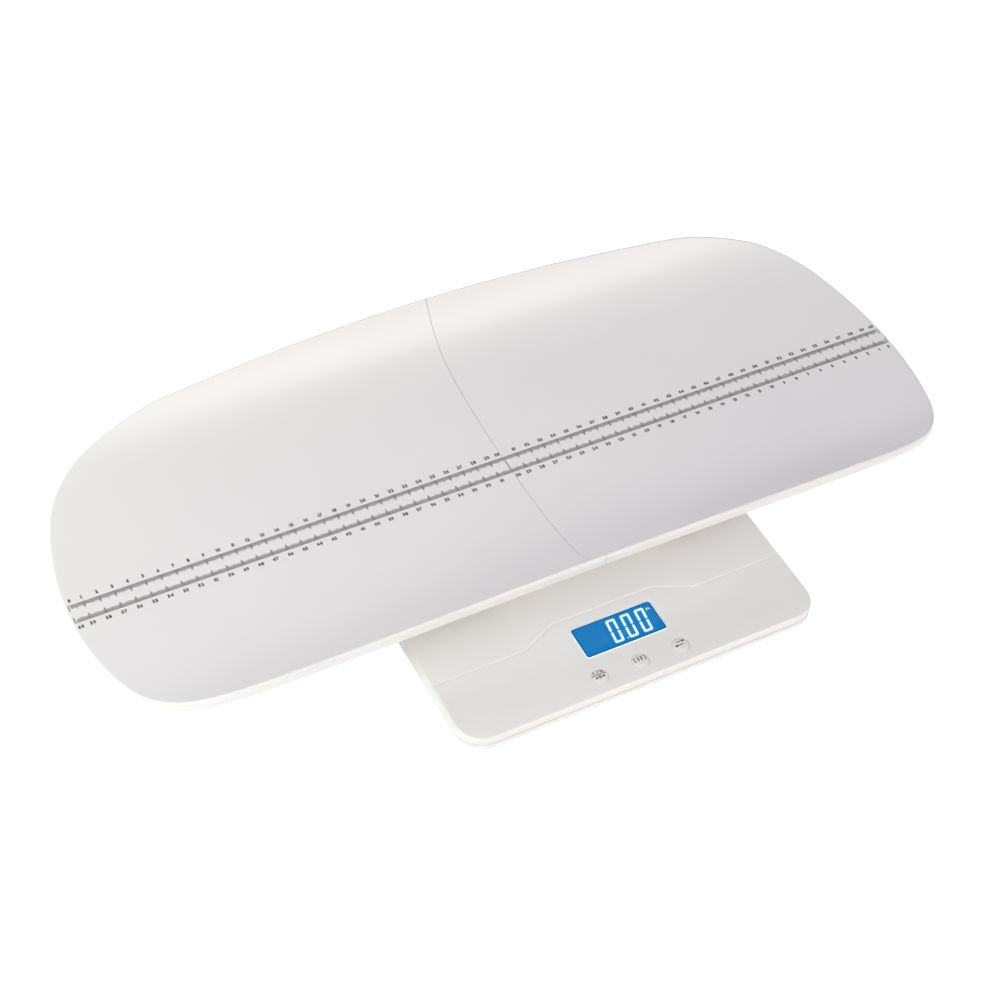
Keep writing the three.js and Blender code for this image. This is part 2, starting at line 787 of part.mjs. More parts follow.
// The backlight: a light guide with a lamp ledge at one end
function displayBacklight() {
  const guideDepth = panelDepth - 2 * panelInset;
  const guide = block(
    [-panelWidth / 2 + panelInset, -guideDepth / 2, backlightTop - backlightHeight],
    [panelWidth / 2 - panelInset, guideDepth / 2, backlightTop],
  );
  const ledge = block(
    [panelWidth / 2 - 2 * panelInset, -guideDepth / 4, backlightTop - backlightHeight],
    [panelWidth / 2 + panelInset, guideDepth / 4, backlightTop - backlightHeight / 3],
  );
  return guide.add(ledge);
}

// The circuit board, with a hole at each post
function circuitBoard() {
  const ring = roundedRing(boardWidth, boardDepth, boardCorner, edgeSteps, 0, -boardBack);
  let board = prism(ring, boardBottom, boardTop);
  for (const { x, y } of boardPostPlaces) {
    const low = boardBottom - cutOverrun;
    const high = boardTop + cutOverrun;
    board = board.subtract(disc(boardScrewRadius + fitGap, low, high, screwSides, x, y));
  }
  return board;
}

// A screw that holds the board up to one of the cover's posts
function boardScrew() {
  const seat = boardBottom - fitGap;
  return turned([
    [0, seat - boardScrewHeadHeight],
    [boardScrewHead, seat - boardScrewHeadHeight],
    [boardScrewHead, seat],
    [boardScrewRadius, seat],
    [boardScrewRadius, seat + boardScrewLength - boardScrewRadius],
    [0, seat + boardScrewLength],
  ], screwSides);
}

// The controller under its drop of black resin
function controllerChip() {
  const top = boardBottom - fitGap;
  return turned([
    [0, top - chipHeight],
    [chipRadius / 2, top - chipHeight],
    [(chipRadius * 5) / 6, top - chipHeight / 2],
    [chipRadius, top],
    [0, top],
  ], roundSides);
}

// The socket that the wires plug into, with one cell for each wire
function wireSocket() {
  const top = boardBottom - fitGap;
  let socket = block(
    [-plugWidth / 2, -plugDepth / 2, top - plugHeight],
    [plugWidth / 2, plugDepth / 2, top],
  );
  for (let cell = 0; cell < wireCount; cell += 1) {
    const x = socketX(cell);
    const half = plugPitch / 2 - plugLip;
    socket = socket.subtract(block(
      [x - half, -plugDepth / 2 - cutOverrun, top - plugHeight - cutOverrun],
      [x + half, plugDepth / 2 - plugLip, top - plugLip - wireRadius],
    ));
  }
  return socket;
}

// The middle of one cell of the wire socket
function socketX(cell) {
  return (cell - (wireCount - 1) / 2) * plugPitch;
}

addPiece('display_window', displayWindow(), 'clearWindow', 0, -windowBack, 0);
addPiece('display_panel', displayPanel(), 'displayGlass', 0, -windowBack, 0);
addPiece('display_backlight', displayBacklight(), 'lightGuide', 0, -windowBack, 0);
addPiece('circuit_board', circuitBoard(), 'board');
for (const { name, x, y } of boardPostPlaces.filter(({ isPin }) => !isPin)) {
  addPiece(`board_screw_${name}`, boardScrew(), 'steel', x, y, 0);
}
addPiece('controller_chip', controllerChip(), 'blackNylon', -chipAcross, -boardBack - chipAhead, 0);
addPiece('wire_socket', wireSocket(), 'whiteNylon', 0, -plugBack, 0);

// A button: a domed cap with a rounded edge and a flange that keeps it under the cover
function buttonCap() {
  const top = platformHeight + buttonProud;
  const profile = [
    [0, buttonBottom],
    [buttonRadius + buttonFlange, buttonBottom],
    [buttonRadius + buttonFlange, buttonFlangeTop],
    [buttonRadius, buttonFlangeTop],
  ];
  for (let step = 0; step <= edgeSteps; step += 1) {
    const angle = (step / edgeSteps) * quarterTurn;
    profile.push([
      buttonRadius - buttonEdge * (1 - Math.cos(angle)),
      top - buttonDome - buttonEdge * (1 - Math.sin(angle)),
    ]);
  }
  profile.push([buttonRadius / 2, top - buttonDome / 4]);
  profile.push([0, top]);
  return turned(profile, fineSides);
}

// The square body of a switch, with the bore that its plunger runs in
function switchBody() {
  const half = switchSize / 2;
  const bore = disc(
    plungerRadius + fitGap,
    switchBottom + switchFloor,
    switchBottom + switchHeight + cutOverrun,
    screwSides,
  );
  return block([-half, -half, switchBottom], [half, half, switchBottom + switchHeight]).subtract(bore);
}

// The plunger of a switch
function switchPlunger() {
  const bottom = switchBottom + switchFloor + buttonTravel + plungerSpare;
  return disc(plungerRadius, bottom, plungerTop, screwSides);
}

for (const { name, x } of buttons) {
  addPiece(`button_${name}`, buttonCap(), 'keycap', x, -buttonBack, 0);
  addPiece(`switch_body_${name}`, switchBody(), 'blackNylon', x, -buttonBack, 0);
  addPiece(`switch_plunger_${name}`, switchPlunger(), 'whiteNylon', x, -buttonBack, 0);
}

// A load cell: a steel plate whose middle tongue is freed by a slot on three sides
function loadCell() {
  const shape = new THREE.Shape(roundedRing(cellSize, cellSize, cellCorner, edgeSteps));
  const outer = cellSize / 2 - cellFrame;
  const inner = outer - cellSlot;
  const half = cellTongue / 2;
  const slot = new THREE.Path([
    new THREE.Vector2(-outer, -outer),
    new THREE.Vector2(outer, -outer),
    new THREE.Vector2(outer, outer),
    new THREE.Vector2(half, outer),
    new THREE.Vector2(half, inner),
    new THREE.Vector2(inner, inner),
    new THREE.Vector2(inner, -inner),
    new THREE.Vector2(-inner, -inner),
    new THREE.Vector2(-inner, inner),
    new THREE.Vector2(-half, inner),
    new THREE.Vector2(-half, outer),
    new THREE.Vector2(-outer, outer),
  ]);
  shape.holes.push(slot);
  return prism(shape, cellLift, cellTop);
}

// The bracket that carries a load cell under the cover: a ring that presses on the cell's
// frame, with four corner hooks round the cell
function cellBracket() {
  const size = 2 * bracketHalf;
  const shape = new THREE.Shape(roundedRing(size, size, cellCorner + bracketWall, edgeSteps));
  const bore = [];
  for (let step = 0; step < roundSides; step += 1) {
    const angle = (step / roundSides) * fullTurn;
    bore.push(new THREE.Vector2(bracketBore * Math.cos(angle), bracketBore * Math.sin(angle)));
  }
  shape.holes.push(new THREE.Path(bore));
  const seat = cellTop + fitGap;
  const ring = prism(shape, seat, ceiling - fitGap);
  const low = cellLift - fitGap;
  const outline = roundedRing(size, size, cellCorner + bracketWall, edgeSteps);
  const room = roundedRing(cellSize + 2 * fitGap, cellSize + 2 * fitGap, cellCorner + fitGap, edgeSteps);
  const span = cellSize / 2 - bracketHook;
  const wide = size / 2 + cutOverrun;
  const hooks = prism(outline, low, seat + bracketDrop)
    .subtract(prism(room, low - cutOverrun, seat + bracketDrop + cutOverrun))
    .subtract(block([-wide, -span, low - cutOverrun], [wide, span, seat]))
    .subtract(block([-span, -wide, low - cutOverrun], [span, wide, seat]));
  return ring.add(hooks);
}

// A foot: a disc with a dish for its pad and a boss that bears on the load cell's tongue
function foot() {
  const top = footClearance + footHeight;
  return turned([
    [0, footClearance + footDish],
    [padRadius + fitGap, footClearance + footDish],
    [padRadius + fitGap, footClearance],
    [footRadius - padEdge, footClearance],
    [footRadius, footClearance + padEdge],
    [footRadius, top - padEdge],
    [footRadius - padEdge, top],
    [footBossRadius, top],
    [footBossRadius, cellLift - fitGap],
    [0, cellLift - fitGap],
  ], fineSides);
}

// A rubber pad that the scale stands on
function footPad() {
  const top = footClearance + padSink;
  return turned([
    [0, 0],
    [padRadius - padEdge, 0],
    [padRadius, padEdge],
    [padRadius, top],
    [0, top],
  ], fineSides);
}

for (const { name, x, y, end } of footPlaces) {
  const cell = addPiece(`load_cell_${name}`, loadCell(), 'steel', x, y, 0);
  cell.rotation.z = end < 0 ? 0 : Math.PI;
  addPiece(`cell_bracket_${name}`, cellBracket(), 'whiteNylon', x, y, 0);
  addPiece(`foot_${name}`, foot(), 'casing', x, y, 0);
  addPiece(`foot_pad_${name}`, footPad(), 'rubber', x, y, 0);
}

// A battery lying along X with its nub at the positive end
function battery() {
  const shoulder = batteryRadius - batteryShoulder;
  const geometry = new THREE.LatheGeometry([
    new THREE.Vector2(0, 0),
    new THREE.Vector2(shoulder, 0),
    new THREE.Vector2(batteryRadius, batteryShoulder),
    new THREE.Vector2(batteryRadius, batteryLength - batteryShoulder),
    new THREE.Vector2(shoulder, batteryLength),
    new THREE.Vector2(nubRadius, batteryLength),
    new THREE.Vector2(nubRadius, batteryTotal),
    new THREE.Vector2(0, batteryTotal),
  ], roundSides);
  geometry.rotateZ(-quarterTurn);
  return solidOf(geometry);
}

// A contact spring: one wire that winds up a cone, as a chain of rings of points
function contactSpring() {
  const steps = springTurns * springStepsPerTurn;
  const positions = [];
  const index = [];
  const rise = springLength - 2 * springWire - 3 * fitGap;
  for (let step = 0; step <= steps; step += 1) {
    const share = step / steps;
    const angle = share * springTurns * fullTurn;
    const radius = springStartRadius + (springEndRadius - springStartRadius) * share;
    const x = springWire + fitGap + rise * share;
    for (let side = 0; side < springSides; side += 1) {
      const turn = (side / springSides) * fullTurn;
      const out = radius + springWire * Math.cos(turn);
      positions.push(x + springWire * Math.sin(turn), out * Math.cos(angle), out * Math.sin(angle));
    }
  }
  for (let step = 0; step < steps; step += 1) {
    for (let side = 0; side < springSides; side += 1) {
      const a = step * springSides + side;
      const b = step * springSides + ((side + 1) % springSides);
      index.push(a, b + springSides, b, a, a + springSides, b + springSides);
    }
  }
  for (let side = 1; side < springSides - 1; side += 1) {
    index.push(0, side, side + 1);
    const last = steps * springSides;
    index.push(last, last + side + 1, last + side);
  }
  const geometry = new THREE.BufferGeometry();
  geometry.setAttribute('position', new THREE.Float32BufferAttribute(positions, 3));
  geometry.setIndex(index);
  return solidOf(geometry);
}

// A contact plate as wide as the contact width and the given reach together
function contactPlate(reach) {
  const half = (contactWidth + reach) / 2;
  const low = batteryLevel - contactHeight / 2;
  return block([0, -half, low], [contactThickness, half, low + contactHeight]);
}

// The battery door: a plate with a rounded hinge edge, a springy tab and grip grooves
function batteryDoor() {
  const half = doorThickness / 2;
  const level = panClearance + half;
  const section = [];
  for (let step = 0; step <= cornerSteps; step += 1) {
    const angle = quarterTurn - (step / cornerSteps) * 2 * quarterTurn;
    const y = doorDepth / 2 - half + half * Math.cos(angle);
    section.push(new THREE.Vector2(y, level + half * Math.sin(angle)));
  }
  section.push(new THREE.Vector2(-doorDepth / 2, panClearance));
  section.push(new THREE.Vector2(-doorDepth / 2, panClearance + doorThickness));
  let door = barAlongX(section, -doorLength / 2, doorLength / 2);
  const front = -doorDepth / 2;
  for (const side of [-1, 1]) {
    const x = side * (doorTabWidth / 2);
    door = door.subtract(block(
      [x - doorTabSlot / 2, front - cutOverrun, panClearance - cutOverrun],
      [x + doorTabSlot / 2, front + doorTabLength, bayFloor],
    ));
  }
  const gripHalf = doorTabWidth / 2 - doorGripMargin;
  for (let groove = 0; groove < doorGripCount; groove += 1) {
    const y = front + doorGripMargin + groove * doorGripPitch;
    door = door.subtract(block(
      [-gripHalf, y - doorGripDepth / 2, panClearance - cutOverrun],
      [gripHalf, y + doorGripDepth / 2, panClearance + doorGripSink],
    ));
  }
  return door;
}

const batteryPitch = 2 * batteryRadius + batterySpace;
const plateInner = bayInnerLength / 2 - fitGap - contactThickness;
for (const [name, side] of [['front', -1], ['back', 1]]) {
  const y = -bayAhead + side * (batteryPitch / 2);
  const cell = addPiece(`battery_${name}`, battery(), 'batteryJacket');
  const spring = addPiece(`contact_spring_${name}`, contactSpring(), 'steel');
  cell.rotation.z = side < 0 ? 0 : Math.PI;
  spring.rotation.z = side < 0 ? 0 : Math.PI;
  cell.position.set(-side * (plateInner - fitGap - batteryTotal), y, batteryLevel);
  addPiece(`contact_tab_${name}`, contactPlate(0), 'steel', -plateInner - contactThickness, y, 0);
  spring.position.set(side * plateInner, y, batteryLevel);
}
addPiece('contact_bridge', contactPlate(batteryPitch), 'steel', plateInner, -bayAhead, 0);
addPiece('battery_door', batteryDoor(), 'casing', 0, -bayAhead, 0);

// A wire through a list of points
function wire(points) {
  const ring = [];
  for (let side = 0; side < wireSides; side += 1) {
    const angle = (side / wireSides) * fullTurn;
    ring.push(new THREE.Vector2(wireRadius * Math.cos(angle), wireRadius * Math.sin(angle)));
  }
  const path = new THREE.CatmullRomCurve3(points.map(([x, y, z]) => new THREE.Vector3(x, y, z)));
  const geometry = new THREE.ExtrudeGeometry(new THREE.Shape(ring), {
    steps: wireSteps,
    bevelEnabled: false,
    extrudePath: path,
  });
  return solidOf(geometry);
}

// The level and the face at which every wire meets its socket
const socketFace = -plugBack + plugDepth / 2 + fitGap;
const socketLevel = boardBottom - fitGap - plugHeight / 2;

// The last stretch of a wire, from its turn in front of the socket straight into its cell
function socketEntry(cell, turn) {
  const x = socketX(cell);
  return [
    [x, socketFace + turn, (wireLevel + socketLevel) / 2],
    [x, socketFace + wireStraight, socketLevel],
    [x, socketFace, socketLevel],
  ];
}

// The wire of one load cell, from the open side of its bracket to its cell of the socket
function cellWire({ side, end, x, y }) {
  const outerCell = side < 0 ? 0 : wireCount - 1;
  const cell = end < 0 ? outerCell : outerCell - side;
  const lane = side * wireLane;
  const level = cellLift + cellHeight / 2;
  const face = x - side * (cellSize / 2 + fitGap);
  const exit = [[face, y, level], [face - side * wireStraight, y, level]];
  if (end < 0) {
    return wire([
      ...exit,
      [(face + lane) / 2, y + wireBend, wireLevel],
      [lane - side * wireBend, socketFace + wireBend / 2, wireLevel],
      ...socketEntry(cell, wireBend),
    ]);
  }
  return wire([
    ...exit,
    [lane, y - wireBend, wireLevel],
    [lane, socketFace + 4 * wireBend, wireLevel],
    [lane / 2, socketFace + 2 * wireBend + wireStraight, wireLevel],
    ...socketEntry(cell, 2 * wireBend),
  ]);
}

// A straight lead from the battery bay to its cell of the socket
function batteryLead(cell) {
  const bayFace = -bayAhead - bayOuterDepth / 2 - fitGap;
  const x = socketX(cell);
  return wire([
    [x, bayFace, socketLevel],
    [x, (bayFace + socketFace) / 2, socketLevel],
    [x, socketFace, socketLevel],
  ]);
}

for (const place of footPlaces) {
  addPiece(`cell_wire_${place.name}`, cellWire(place), 'wireJacket');
}
addPiece('battery_lead_minus', batteryLead(wireCount / 2 - 1), 'wireJacket');
addPiece('battery_lead_plus', batteryLead(wireCount / 2), 'wireJacket');

// The origin lies on the floor, under the middle of the whole scale's depth
scale.position.y = (platformFront - trayWidth / 2) / 2;

export default scale;
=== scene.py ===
"""Looks for a digital baby weighing scale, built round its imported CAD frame.

A trough-shaped tray in two halves rests on a low platform with a lit display and three
buttons. Sizes are in millimetres in the row frame, +Z up, and every finished mesh is in
metres. X runs along the tray and -Y is the display side.
"""

import logging
import math
from dataclasses import dataclass, field
from enum import Enum
from itertools import pairwise, product

import bmesh
import bpy
from bmesh.types import BMEdge, BMesh, BMFace, BMVert
from bpy.types import ID, Material, Mesh, Node, NodeSocket, NodeTree, Object
from mathutils import Matrix, Vector


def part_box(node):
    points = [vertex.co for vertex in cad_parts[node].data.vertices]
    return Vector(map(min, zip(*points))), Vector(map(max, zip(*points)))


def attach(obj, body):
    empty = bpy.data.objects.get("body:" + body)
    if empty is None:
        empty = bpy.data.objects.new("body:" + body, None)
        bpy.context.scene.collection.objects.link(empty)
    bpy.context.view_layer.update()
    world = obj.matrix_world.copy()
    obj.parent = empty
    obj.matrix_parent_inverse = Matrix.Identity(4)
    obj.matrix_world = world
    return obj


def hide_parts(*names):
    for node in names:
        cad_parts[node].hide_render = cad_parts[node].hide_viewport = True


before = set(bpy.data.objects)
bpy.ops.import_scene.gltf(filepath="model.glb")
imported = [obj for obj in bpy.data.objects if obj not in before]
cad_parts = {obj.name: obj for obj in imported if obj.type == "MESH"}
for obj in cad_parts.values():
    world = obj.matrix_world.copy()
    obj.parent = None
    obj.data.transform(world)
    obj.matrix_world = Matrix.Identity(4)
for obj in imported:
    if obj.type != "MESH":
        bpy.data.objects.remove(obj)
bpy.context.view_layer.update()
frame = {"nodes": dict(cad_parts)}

MM = 0.001
SHARP_ANGLE = 38  # degrees past which an edge that isn't eased stays sharp
QUARTER = math.pi / 2
NEAR = 1e-4  # how far two levels may lie apart and still be one
THIN = 0.2  # thickness of print before it is laid on its ground

Flat = tuple[float, float]
Point = tuple[float, float, float]

log = logging.getLogger("scale")


class Body(Enum):
    """The CAD bodies that the pieces ride on."""

    PLATFORM = "platform"
    LEFT_HALF = "tray_left_half"
    RIGHT_HALF = "tray_right_half"
    POWER = "power_button"
    HOLD = "hold_button"
    UNIT = "unit_button"
    DOOR = "door"


HALVES = ((-1, "left", Body.LEFT_HALF), (1, "right", Body.RIGHT_HALF))


class Slot(Enum):
    """The names of the record's material slots."""

    TRAY = "tray_shell"
    CASING = "casing"
    KEYCAP = "keycap"
    WINDOW = "clear_window"
    GLASS = "display_glass"
    WHITE = "white_nylon"
    STEEL = "steel"
    RUBBER = "rubber"
    BATTERY = "battery_jacket"


def linear(code: str) -> tuple[float, float, float, float]:
    """Turns an sRGB hex colour into linear values.

    Args:
        code: Six hex digits after a hash sign.

    Returns:
        Linear red, green and blue, and an opacity of one.
    """
    parts = [int(code[i:i + 2], 16) / 255 for i in (1, 3, 5)]
    return *(c / 12.92 if c <= 0.04045 else ((c + 0.055) / 1.055) ** 2.4 for c in parts), 1.0


def add(tree: NodeTree, kind: str, inputs: dict | None = None, **settings) -> Node:
    """Adds one node with its settings, its input values and its links.

    Args:
        tree: The node tree.
        kind: The node's type.
        inputs: Socket names or numbers, each with a value or with the socket that feeds it.
        **settings: The node's own properties.

    Returns:
        The new node.
    """
    node = tree.nodes.new(kind)
    for name, value in settings.items():
        setattr(node, name, value)
    for name, value in (inputs or {}).items():
        if isinstance(value, NodeSocket):
            tree.links.new(value, node.inputs[name])
        else:
            node.inputs[name].default_value = value
    return node


def per_mm(size: float) -> float:
    """The scale of a texture whose features are this many millimetres apart."""
    return 1 / (size * MM)


@dataclass(frozen=True)
class Finish:
    """What every finish has: a name, a main colour and a second one that it drifts to.

    Clouds and grain are given by their spacing, and relief by the height of the grain. A
    lit finish gives its colours out as light.
    """

    name: str
    colour: str
    drift: str
    roughness: float
    roughness_drift: float = 0.04
    cloud: float = 60.0
    grain: float = 1.2
    relief: float = 0.004
    settings: dict = field(default_factory=dict)
    lit: bool = False

    def material(self) -> Material:
        """Builds the material the first time it is asked for.

        Returns:
            The material.
        """
        known = bpy.data.materials.get(self.name)
        if known:
            return known
        material = bpy.data.materials.new(self.name)
        material.use_nodes = True
        tree = material.node_tree
        tree.nodes.clear()
        place = add(tree, "ShaderNodeTexCoord").outputs["Object"]
        clouds, grain, wear = (
            add(tree, "ShaderNodeTexNoise", {
                "Vector": place, "Scale": per_mm(size), "Detail": detail, "Roughness": rough,
            }).outputs["Fac"]
            for size, detail, rough in (
                (self.cloud, 3.0, 0.55), (self.grain, 2.0, 0.5), (self.cloud / 3, 4.0, 0.5),
            )
        )
        colour = add(tree, "ShaderNodeMix", {
            0: clouds, 6: linear(self.colour), 7: linear(self.drift),
        }, data_type="RGBA").outputs[2]
        relief = add(tree, "ShaderNodeBump", {
            "Strength": 0.35, "Distance": self.relief * MM, "Height": grain,
        })
        gloss = add(tree, "ShaderNodeMapRange", {
            "Value": wear,
            "To Min": self.roughness - self.roughness_drift,
            "To Max": self.roughness + self.roughness_drift,
        })
        shader = add(tree, "ShaderNodeBsdfPrincipled", {
            "Emission Color" if self.lit else "Base Color": colour,
            "Roughness": gloss.outputs["Result"],
            "Normal": relief.outputs["Normal"],
            **self.settings,
        })
        add(tree, "ShaderNodeOutputMaterial", {"Surface": shader.outputs["BSDF"]})
        return material


def glow(colour: str, strength: float) -> dict:
    """The settings of a finish that gives light of its own."""
    return {"Emission Color": linear(colour), "Emission Strength": strength}


METAL = {"Metallic": 1.0}

# Injection-moulded ABS with a satin face: even and pale, with a soft wide gleam
TRAY_ABS = Finish(
    "moulded_abs_tray_satin", "#EBEAE9", "#E5E4E4", 0.36, cloud=120, grain=1.6, relief=0.003,
)
# Injection-moulded ABS, a little paler than the tray, with a finer mould grain
CASING_ABS = Finish("moulded_abs_casing_satin", "#EEEDEC", "#E6E5E3", 0.42, cloud=70, grain=1.3)
# The tray's ABS on the small caps, a touch more matt where fingers press
KEYCAP_ABS = Finish(
    "moulded_abs_keycap", "#EBEAE9", "#E1E0DE", 0.45, cloud=8, grain=0.8, relief=0.003,
)
# Pad-printed ink: flat and nearly black, slightly uneven where it thins out
PRINT_INK = Finish(
    "pad_printed_black_ink", "#0C0C0E", "#141416", 0.62, cloud=6, grain=0.4, relief=0.001,
)
# Natural nylon, moulded: milky white with a waxy gleam
WHITE_NYLON = Finish("moulded_nylon_natural", "#DCDCD6", "#CFCFC8", 0.48, cloud=20, grain=0.9)
# Black glass-filled nylon: dark with a dull grain
BLACK_NYLON = Finish(
    "moulded_nylon_black", "#26282A", "#323437", 0.55, cloud=12, grain=0.7, relief=0.006,
)
# Synthetic rubber, moulded: dark grey and quite dull
PAD_RUBBER = Finish(
    "moulded_rubber_grey", "#3A3B3D", "#47484A", 0.85, cloud=10, grain=0.6, relief=0.02,
)
# Zinc-plated steel: bright grey with a faint mottling in the plating
PLATED_STEEL = Finish("zinc_plated_steel", "#B9BCBF", "#9FA3A7", 0.34, 0.08, 9, 0.9, 0.002, METAL)
# Nickel-plated spring wire: brighter and smoother than the stamped steel
PLATED_WIRE = Finish(
    "nickel_plated_spring_wire", "#C9C7C2", "#B1AFA9", 0.26, 0.05, 5, 0.5, 0.001, METAL,
)
# PVC insulation: soft gleam, slightly uneven red
WIRE_PVC = Finish("extruded_pvc_insulation_red", "#8C2F2B", "#7B2623", 0.55, cloud=9, grain=0.7)
# Woven-glass board under solder mask: green with the weave just showing
BOARD_MASK = Finish(
    "solder_masked_circuit_board", "#2C6E49", "#245C3C", 0.4, cloud=5, grain=0.5, relief=0.006,
)
# Acrylic light guide, polished: clear whitish body that spreads the light
GUIDE_ACRYLIC = Finish(
    "moulded_acrylic_light_guide", "#DFEAF4", "#D2E0EE", 0.3, cloud=15, grain=0.8,
)
# Printed metallised film round a battery: smooth slate colour
BATTERY_FILM = Finish(
    "metallised_film_battery_jacket", "#4A5560", "#414B55", 0.33, 0.04, 14, 0.6, 0.001,
    {"Metallic": 0.35},
)
# Copper-toned band of the same film at the positive end
BATTERY_BAND = Finish(
    "metallised_film_battery_band", "#A8643C", "#99582F", 0.3, 0.04, 14, 0.6, 0.001,
    {"Metallic": 0.6},
)
# Polished acrylic with an anti-glare coat: clear, with a faint gleam
WINDOW_ACRYLIC = Finish(
    "polished_acrylic_window", "#FFFFFF", "#FAFCFE", 0.012, 0.008, 30, 8.0, 0.00005,
    {"Transmission Weight": 1.0, "IOR": 1.49, "Specular Tint": linear("#808080")},
)
# Dark blue mask printed inside the window's edge: a thin even frame round the glass
WINDOW_MASK = Finish(
    "screen_printed_blue_mask", "#0A3560", "#092E54", 0.3, 0.05, 10, 0.6, 0.001,
    glow("#0B3A6A", 0.35),
)
# Frosted bevel of the window, which carries the backlight out to its edge
WINDOW_RIM = Finish(
    "frosted_acrylic_window_rim", "#D9ECFA", "#C9E2F6", 0.35, 0.05, 10, 0.6, 0.002,
    glow("#CFE6F8", 0.45),
)
# Lit figures of the display: pale cyan, glowing evenly
LIT_FIGURE = Finish(
    "lit_display_figure", "#0A1418", "#0C171C", 0.3, 0.05, 10, 0.6, 0.001, glow("#D4F6FF", 1.0),
)
# Negative display glass with a blue light behind it: an even saturated blue
DISPLAY_GLASS = Finish(
    "backlit_display_glass", "#007CC4", "#0076B9", 0.3, 0, 40, relief=0, lit=True,
    settings={"Base Color": linear("#04101C"), "Specular IOR Level": 0.1, "Emission Strength": 1},
)


@dataclass(frozen=True)
class Box:
    """A CAD node's box in millimetres."""

    low: Vector
    high: Vector

    @classmethod
    def of(cls, node: str) -> "Box":
        """Reads the box of a CAD node."""
        return cls(*(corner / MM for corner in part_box(node)))

    @property
    def middle(self) -> Vector:
        """The middle of the box."""
        return (self.low + self.high) / 2


def placed(name: str, data: ID) -> Object:
    """Puts an object into the scene.

    Args:
        name: The object's name.
        data: Its mesh, curve, camera or light.

    Returns:
        The object.
    """
    made = bpy.data.objects.new(name, data)
    bpy.context.scene.collection.objects.link(made)
    return made


def settle(made: Object) -> Mesh:
    """The mesh that an object has once its modifiers are worked out."""
    graph = bpy.context.evaluated_depsgraph_get()
    return bpy.data.meshes.new_from_object(made.evaluated_get(graph), depsgraph=graph)


def written(name: str, bm: BMesh) -> Mesh:
    """Writes a bmesh to a mesh.

    Args:
        name: The mesh's name.
        bm: The bmesh, which is freed.

    Returns:
        The mesh.
    """
    mesh = bpy.data.meshes.new(name)
    bm.to_mesh(mesh)
    bm.free()
    return mesh


def islands(first: BMesh, *others: BMesh) -> BMesh:
    """Puts several meshes into the first one.

    Args:
        first: The mesh that takes in the others.
        *others: The other meshes, which are freed.

    Returns:
        The first mesh.
    """
    for other in others:
        carrier = written("carrier", other)
        first.from_mesh(carrier)
        bpy.data.meshes.remove(carrier)
    return first


def add_block(bm: BMesh, middle: Point, size: Point) -> list[BMVert]:
    """Adds a block to a mesh and returns its corners."""
    matrix = Matrix.Translation(middle) @ Matrix.Diagonal((*size, 1))
    return bmesh.ops.create_cube(bm, size=1, matrix=matrix)["verts"]


def block(low: Point, high: Point) -> BMesh:
    """Makes a block.

    Args:
        low: Its lowest corner.
        high: Its highest corner.

    Returns:
        The closed mesh.
    """
    bm = bmesh.new()
    size = Vector(high) - Vector(low)
    add_block(bm, Vector(low) + size / 2, size)
    return bm


def outwards(bm: BMesh) -> BMesh:
    """Turns a mesh's faces outwards and returns the mesh."""
    bmesh.ops.recalc_face_normals(bm, faces=bm.faces[:])
    return bm


def raised(bm: BMesh, faces: list[BMFace], lift: float) -> None:
    """Extrudes faces straight up.

    Args:
        bm: The mesh.
        faces: The faces.
        lift: How far they rise.
    """
    grown = bmesh.ops.extrude_face_region(bm, geom=faces)["geom"]
    bmesh.ops.translate(bm, vec=(0, 0, lift), verts=[v for v in grown if isinstance(v, BMVert)])
    outwards(bm)


def bevelled(bm: BMesh, geom: list, width: float, steps: int, kind: str = "EDGES") -> list[BMFace]:
    """Rounds edges or corners, and returns the new faces."""
    return bmesh.ops.bevel(
        bm, geom=geom, offset=width, offset_type="OFFSET", segments=steps, profile=0.5,
        affect=kind, material=-1,
    )["faces"]


def sliced(bm: BMesh, at: Point, way: Point, clear: bool = False) -> None:
    """Slices a mesh along a plane, and clears what lies past it where that is asked for."""
    bmesh.ops.bisect_plane(
        bm, geom=bm.verts[:] + bm.edges[:] + bm.faces[:], dist=NEAR, plane_co=at, plane_no=way,
        clear_outer=clear,
    )


def lathe(profile: list[Flat], sides: int, middle: Flat | Vector = (0, 0),
          ring: bool = False) -> BMesh:
    """Turns a profile about an upright axis.

    Args:
        profile: Radii and levels, from the lower pole to the upper one.
        sides: How many steps go round.
        middle: Where the axis stands.
        ring: Whether the profile closes on itself, away from the axis.

    Returns:
        The closed mesh.
    """
    bm = bmesh.new()
    chain = [bm.verts.new((radius, 0, level)) for radius, level in profile]
    for pair in pairwise(chain + chain[:1] if ring else chain):
        bm.edges.new(pair)
    bmesh.ops.spin(
        bm, geom=bm.verts[:] + bm.edges[:], cent=(0, 0, 0), axis=(0, 0, 1),
        angle=4 * QUARTER, steps=sides, use_merge=True,
    )
    bmesh.ops.remove_doubles(bm, verts=bm.verts[:], dist=0.0005)
    outwards(bm)
    bmesh.ops.translate(bm, vec=(middle[0], middle[1], 0), verts=bm.verts[:])
    return bm


def rounding(radius: float, steps: int = 6) -> list[Flat]:
    """Follows a quarter circle from its side to its top.

    Args:
        radius: The circle's radius.
        steps: How many steps it takes.

    Returns:
        How far each point lies in from the side and down from the top.
    """
    angles = [step / steps * QUARTER for step in range(steps + 1)]
    return [(radius * (1 - math.cos(a)), radius * (1 - math.sin(a))) for a in angles]


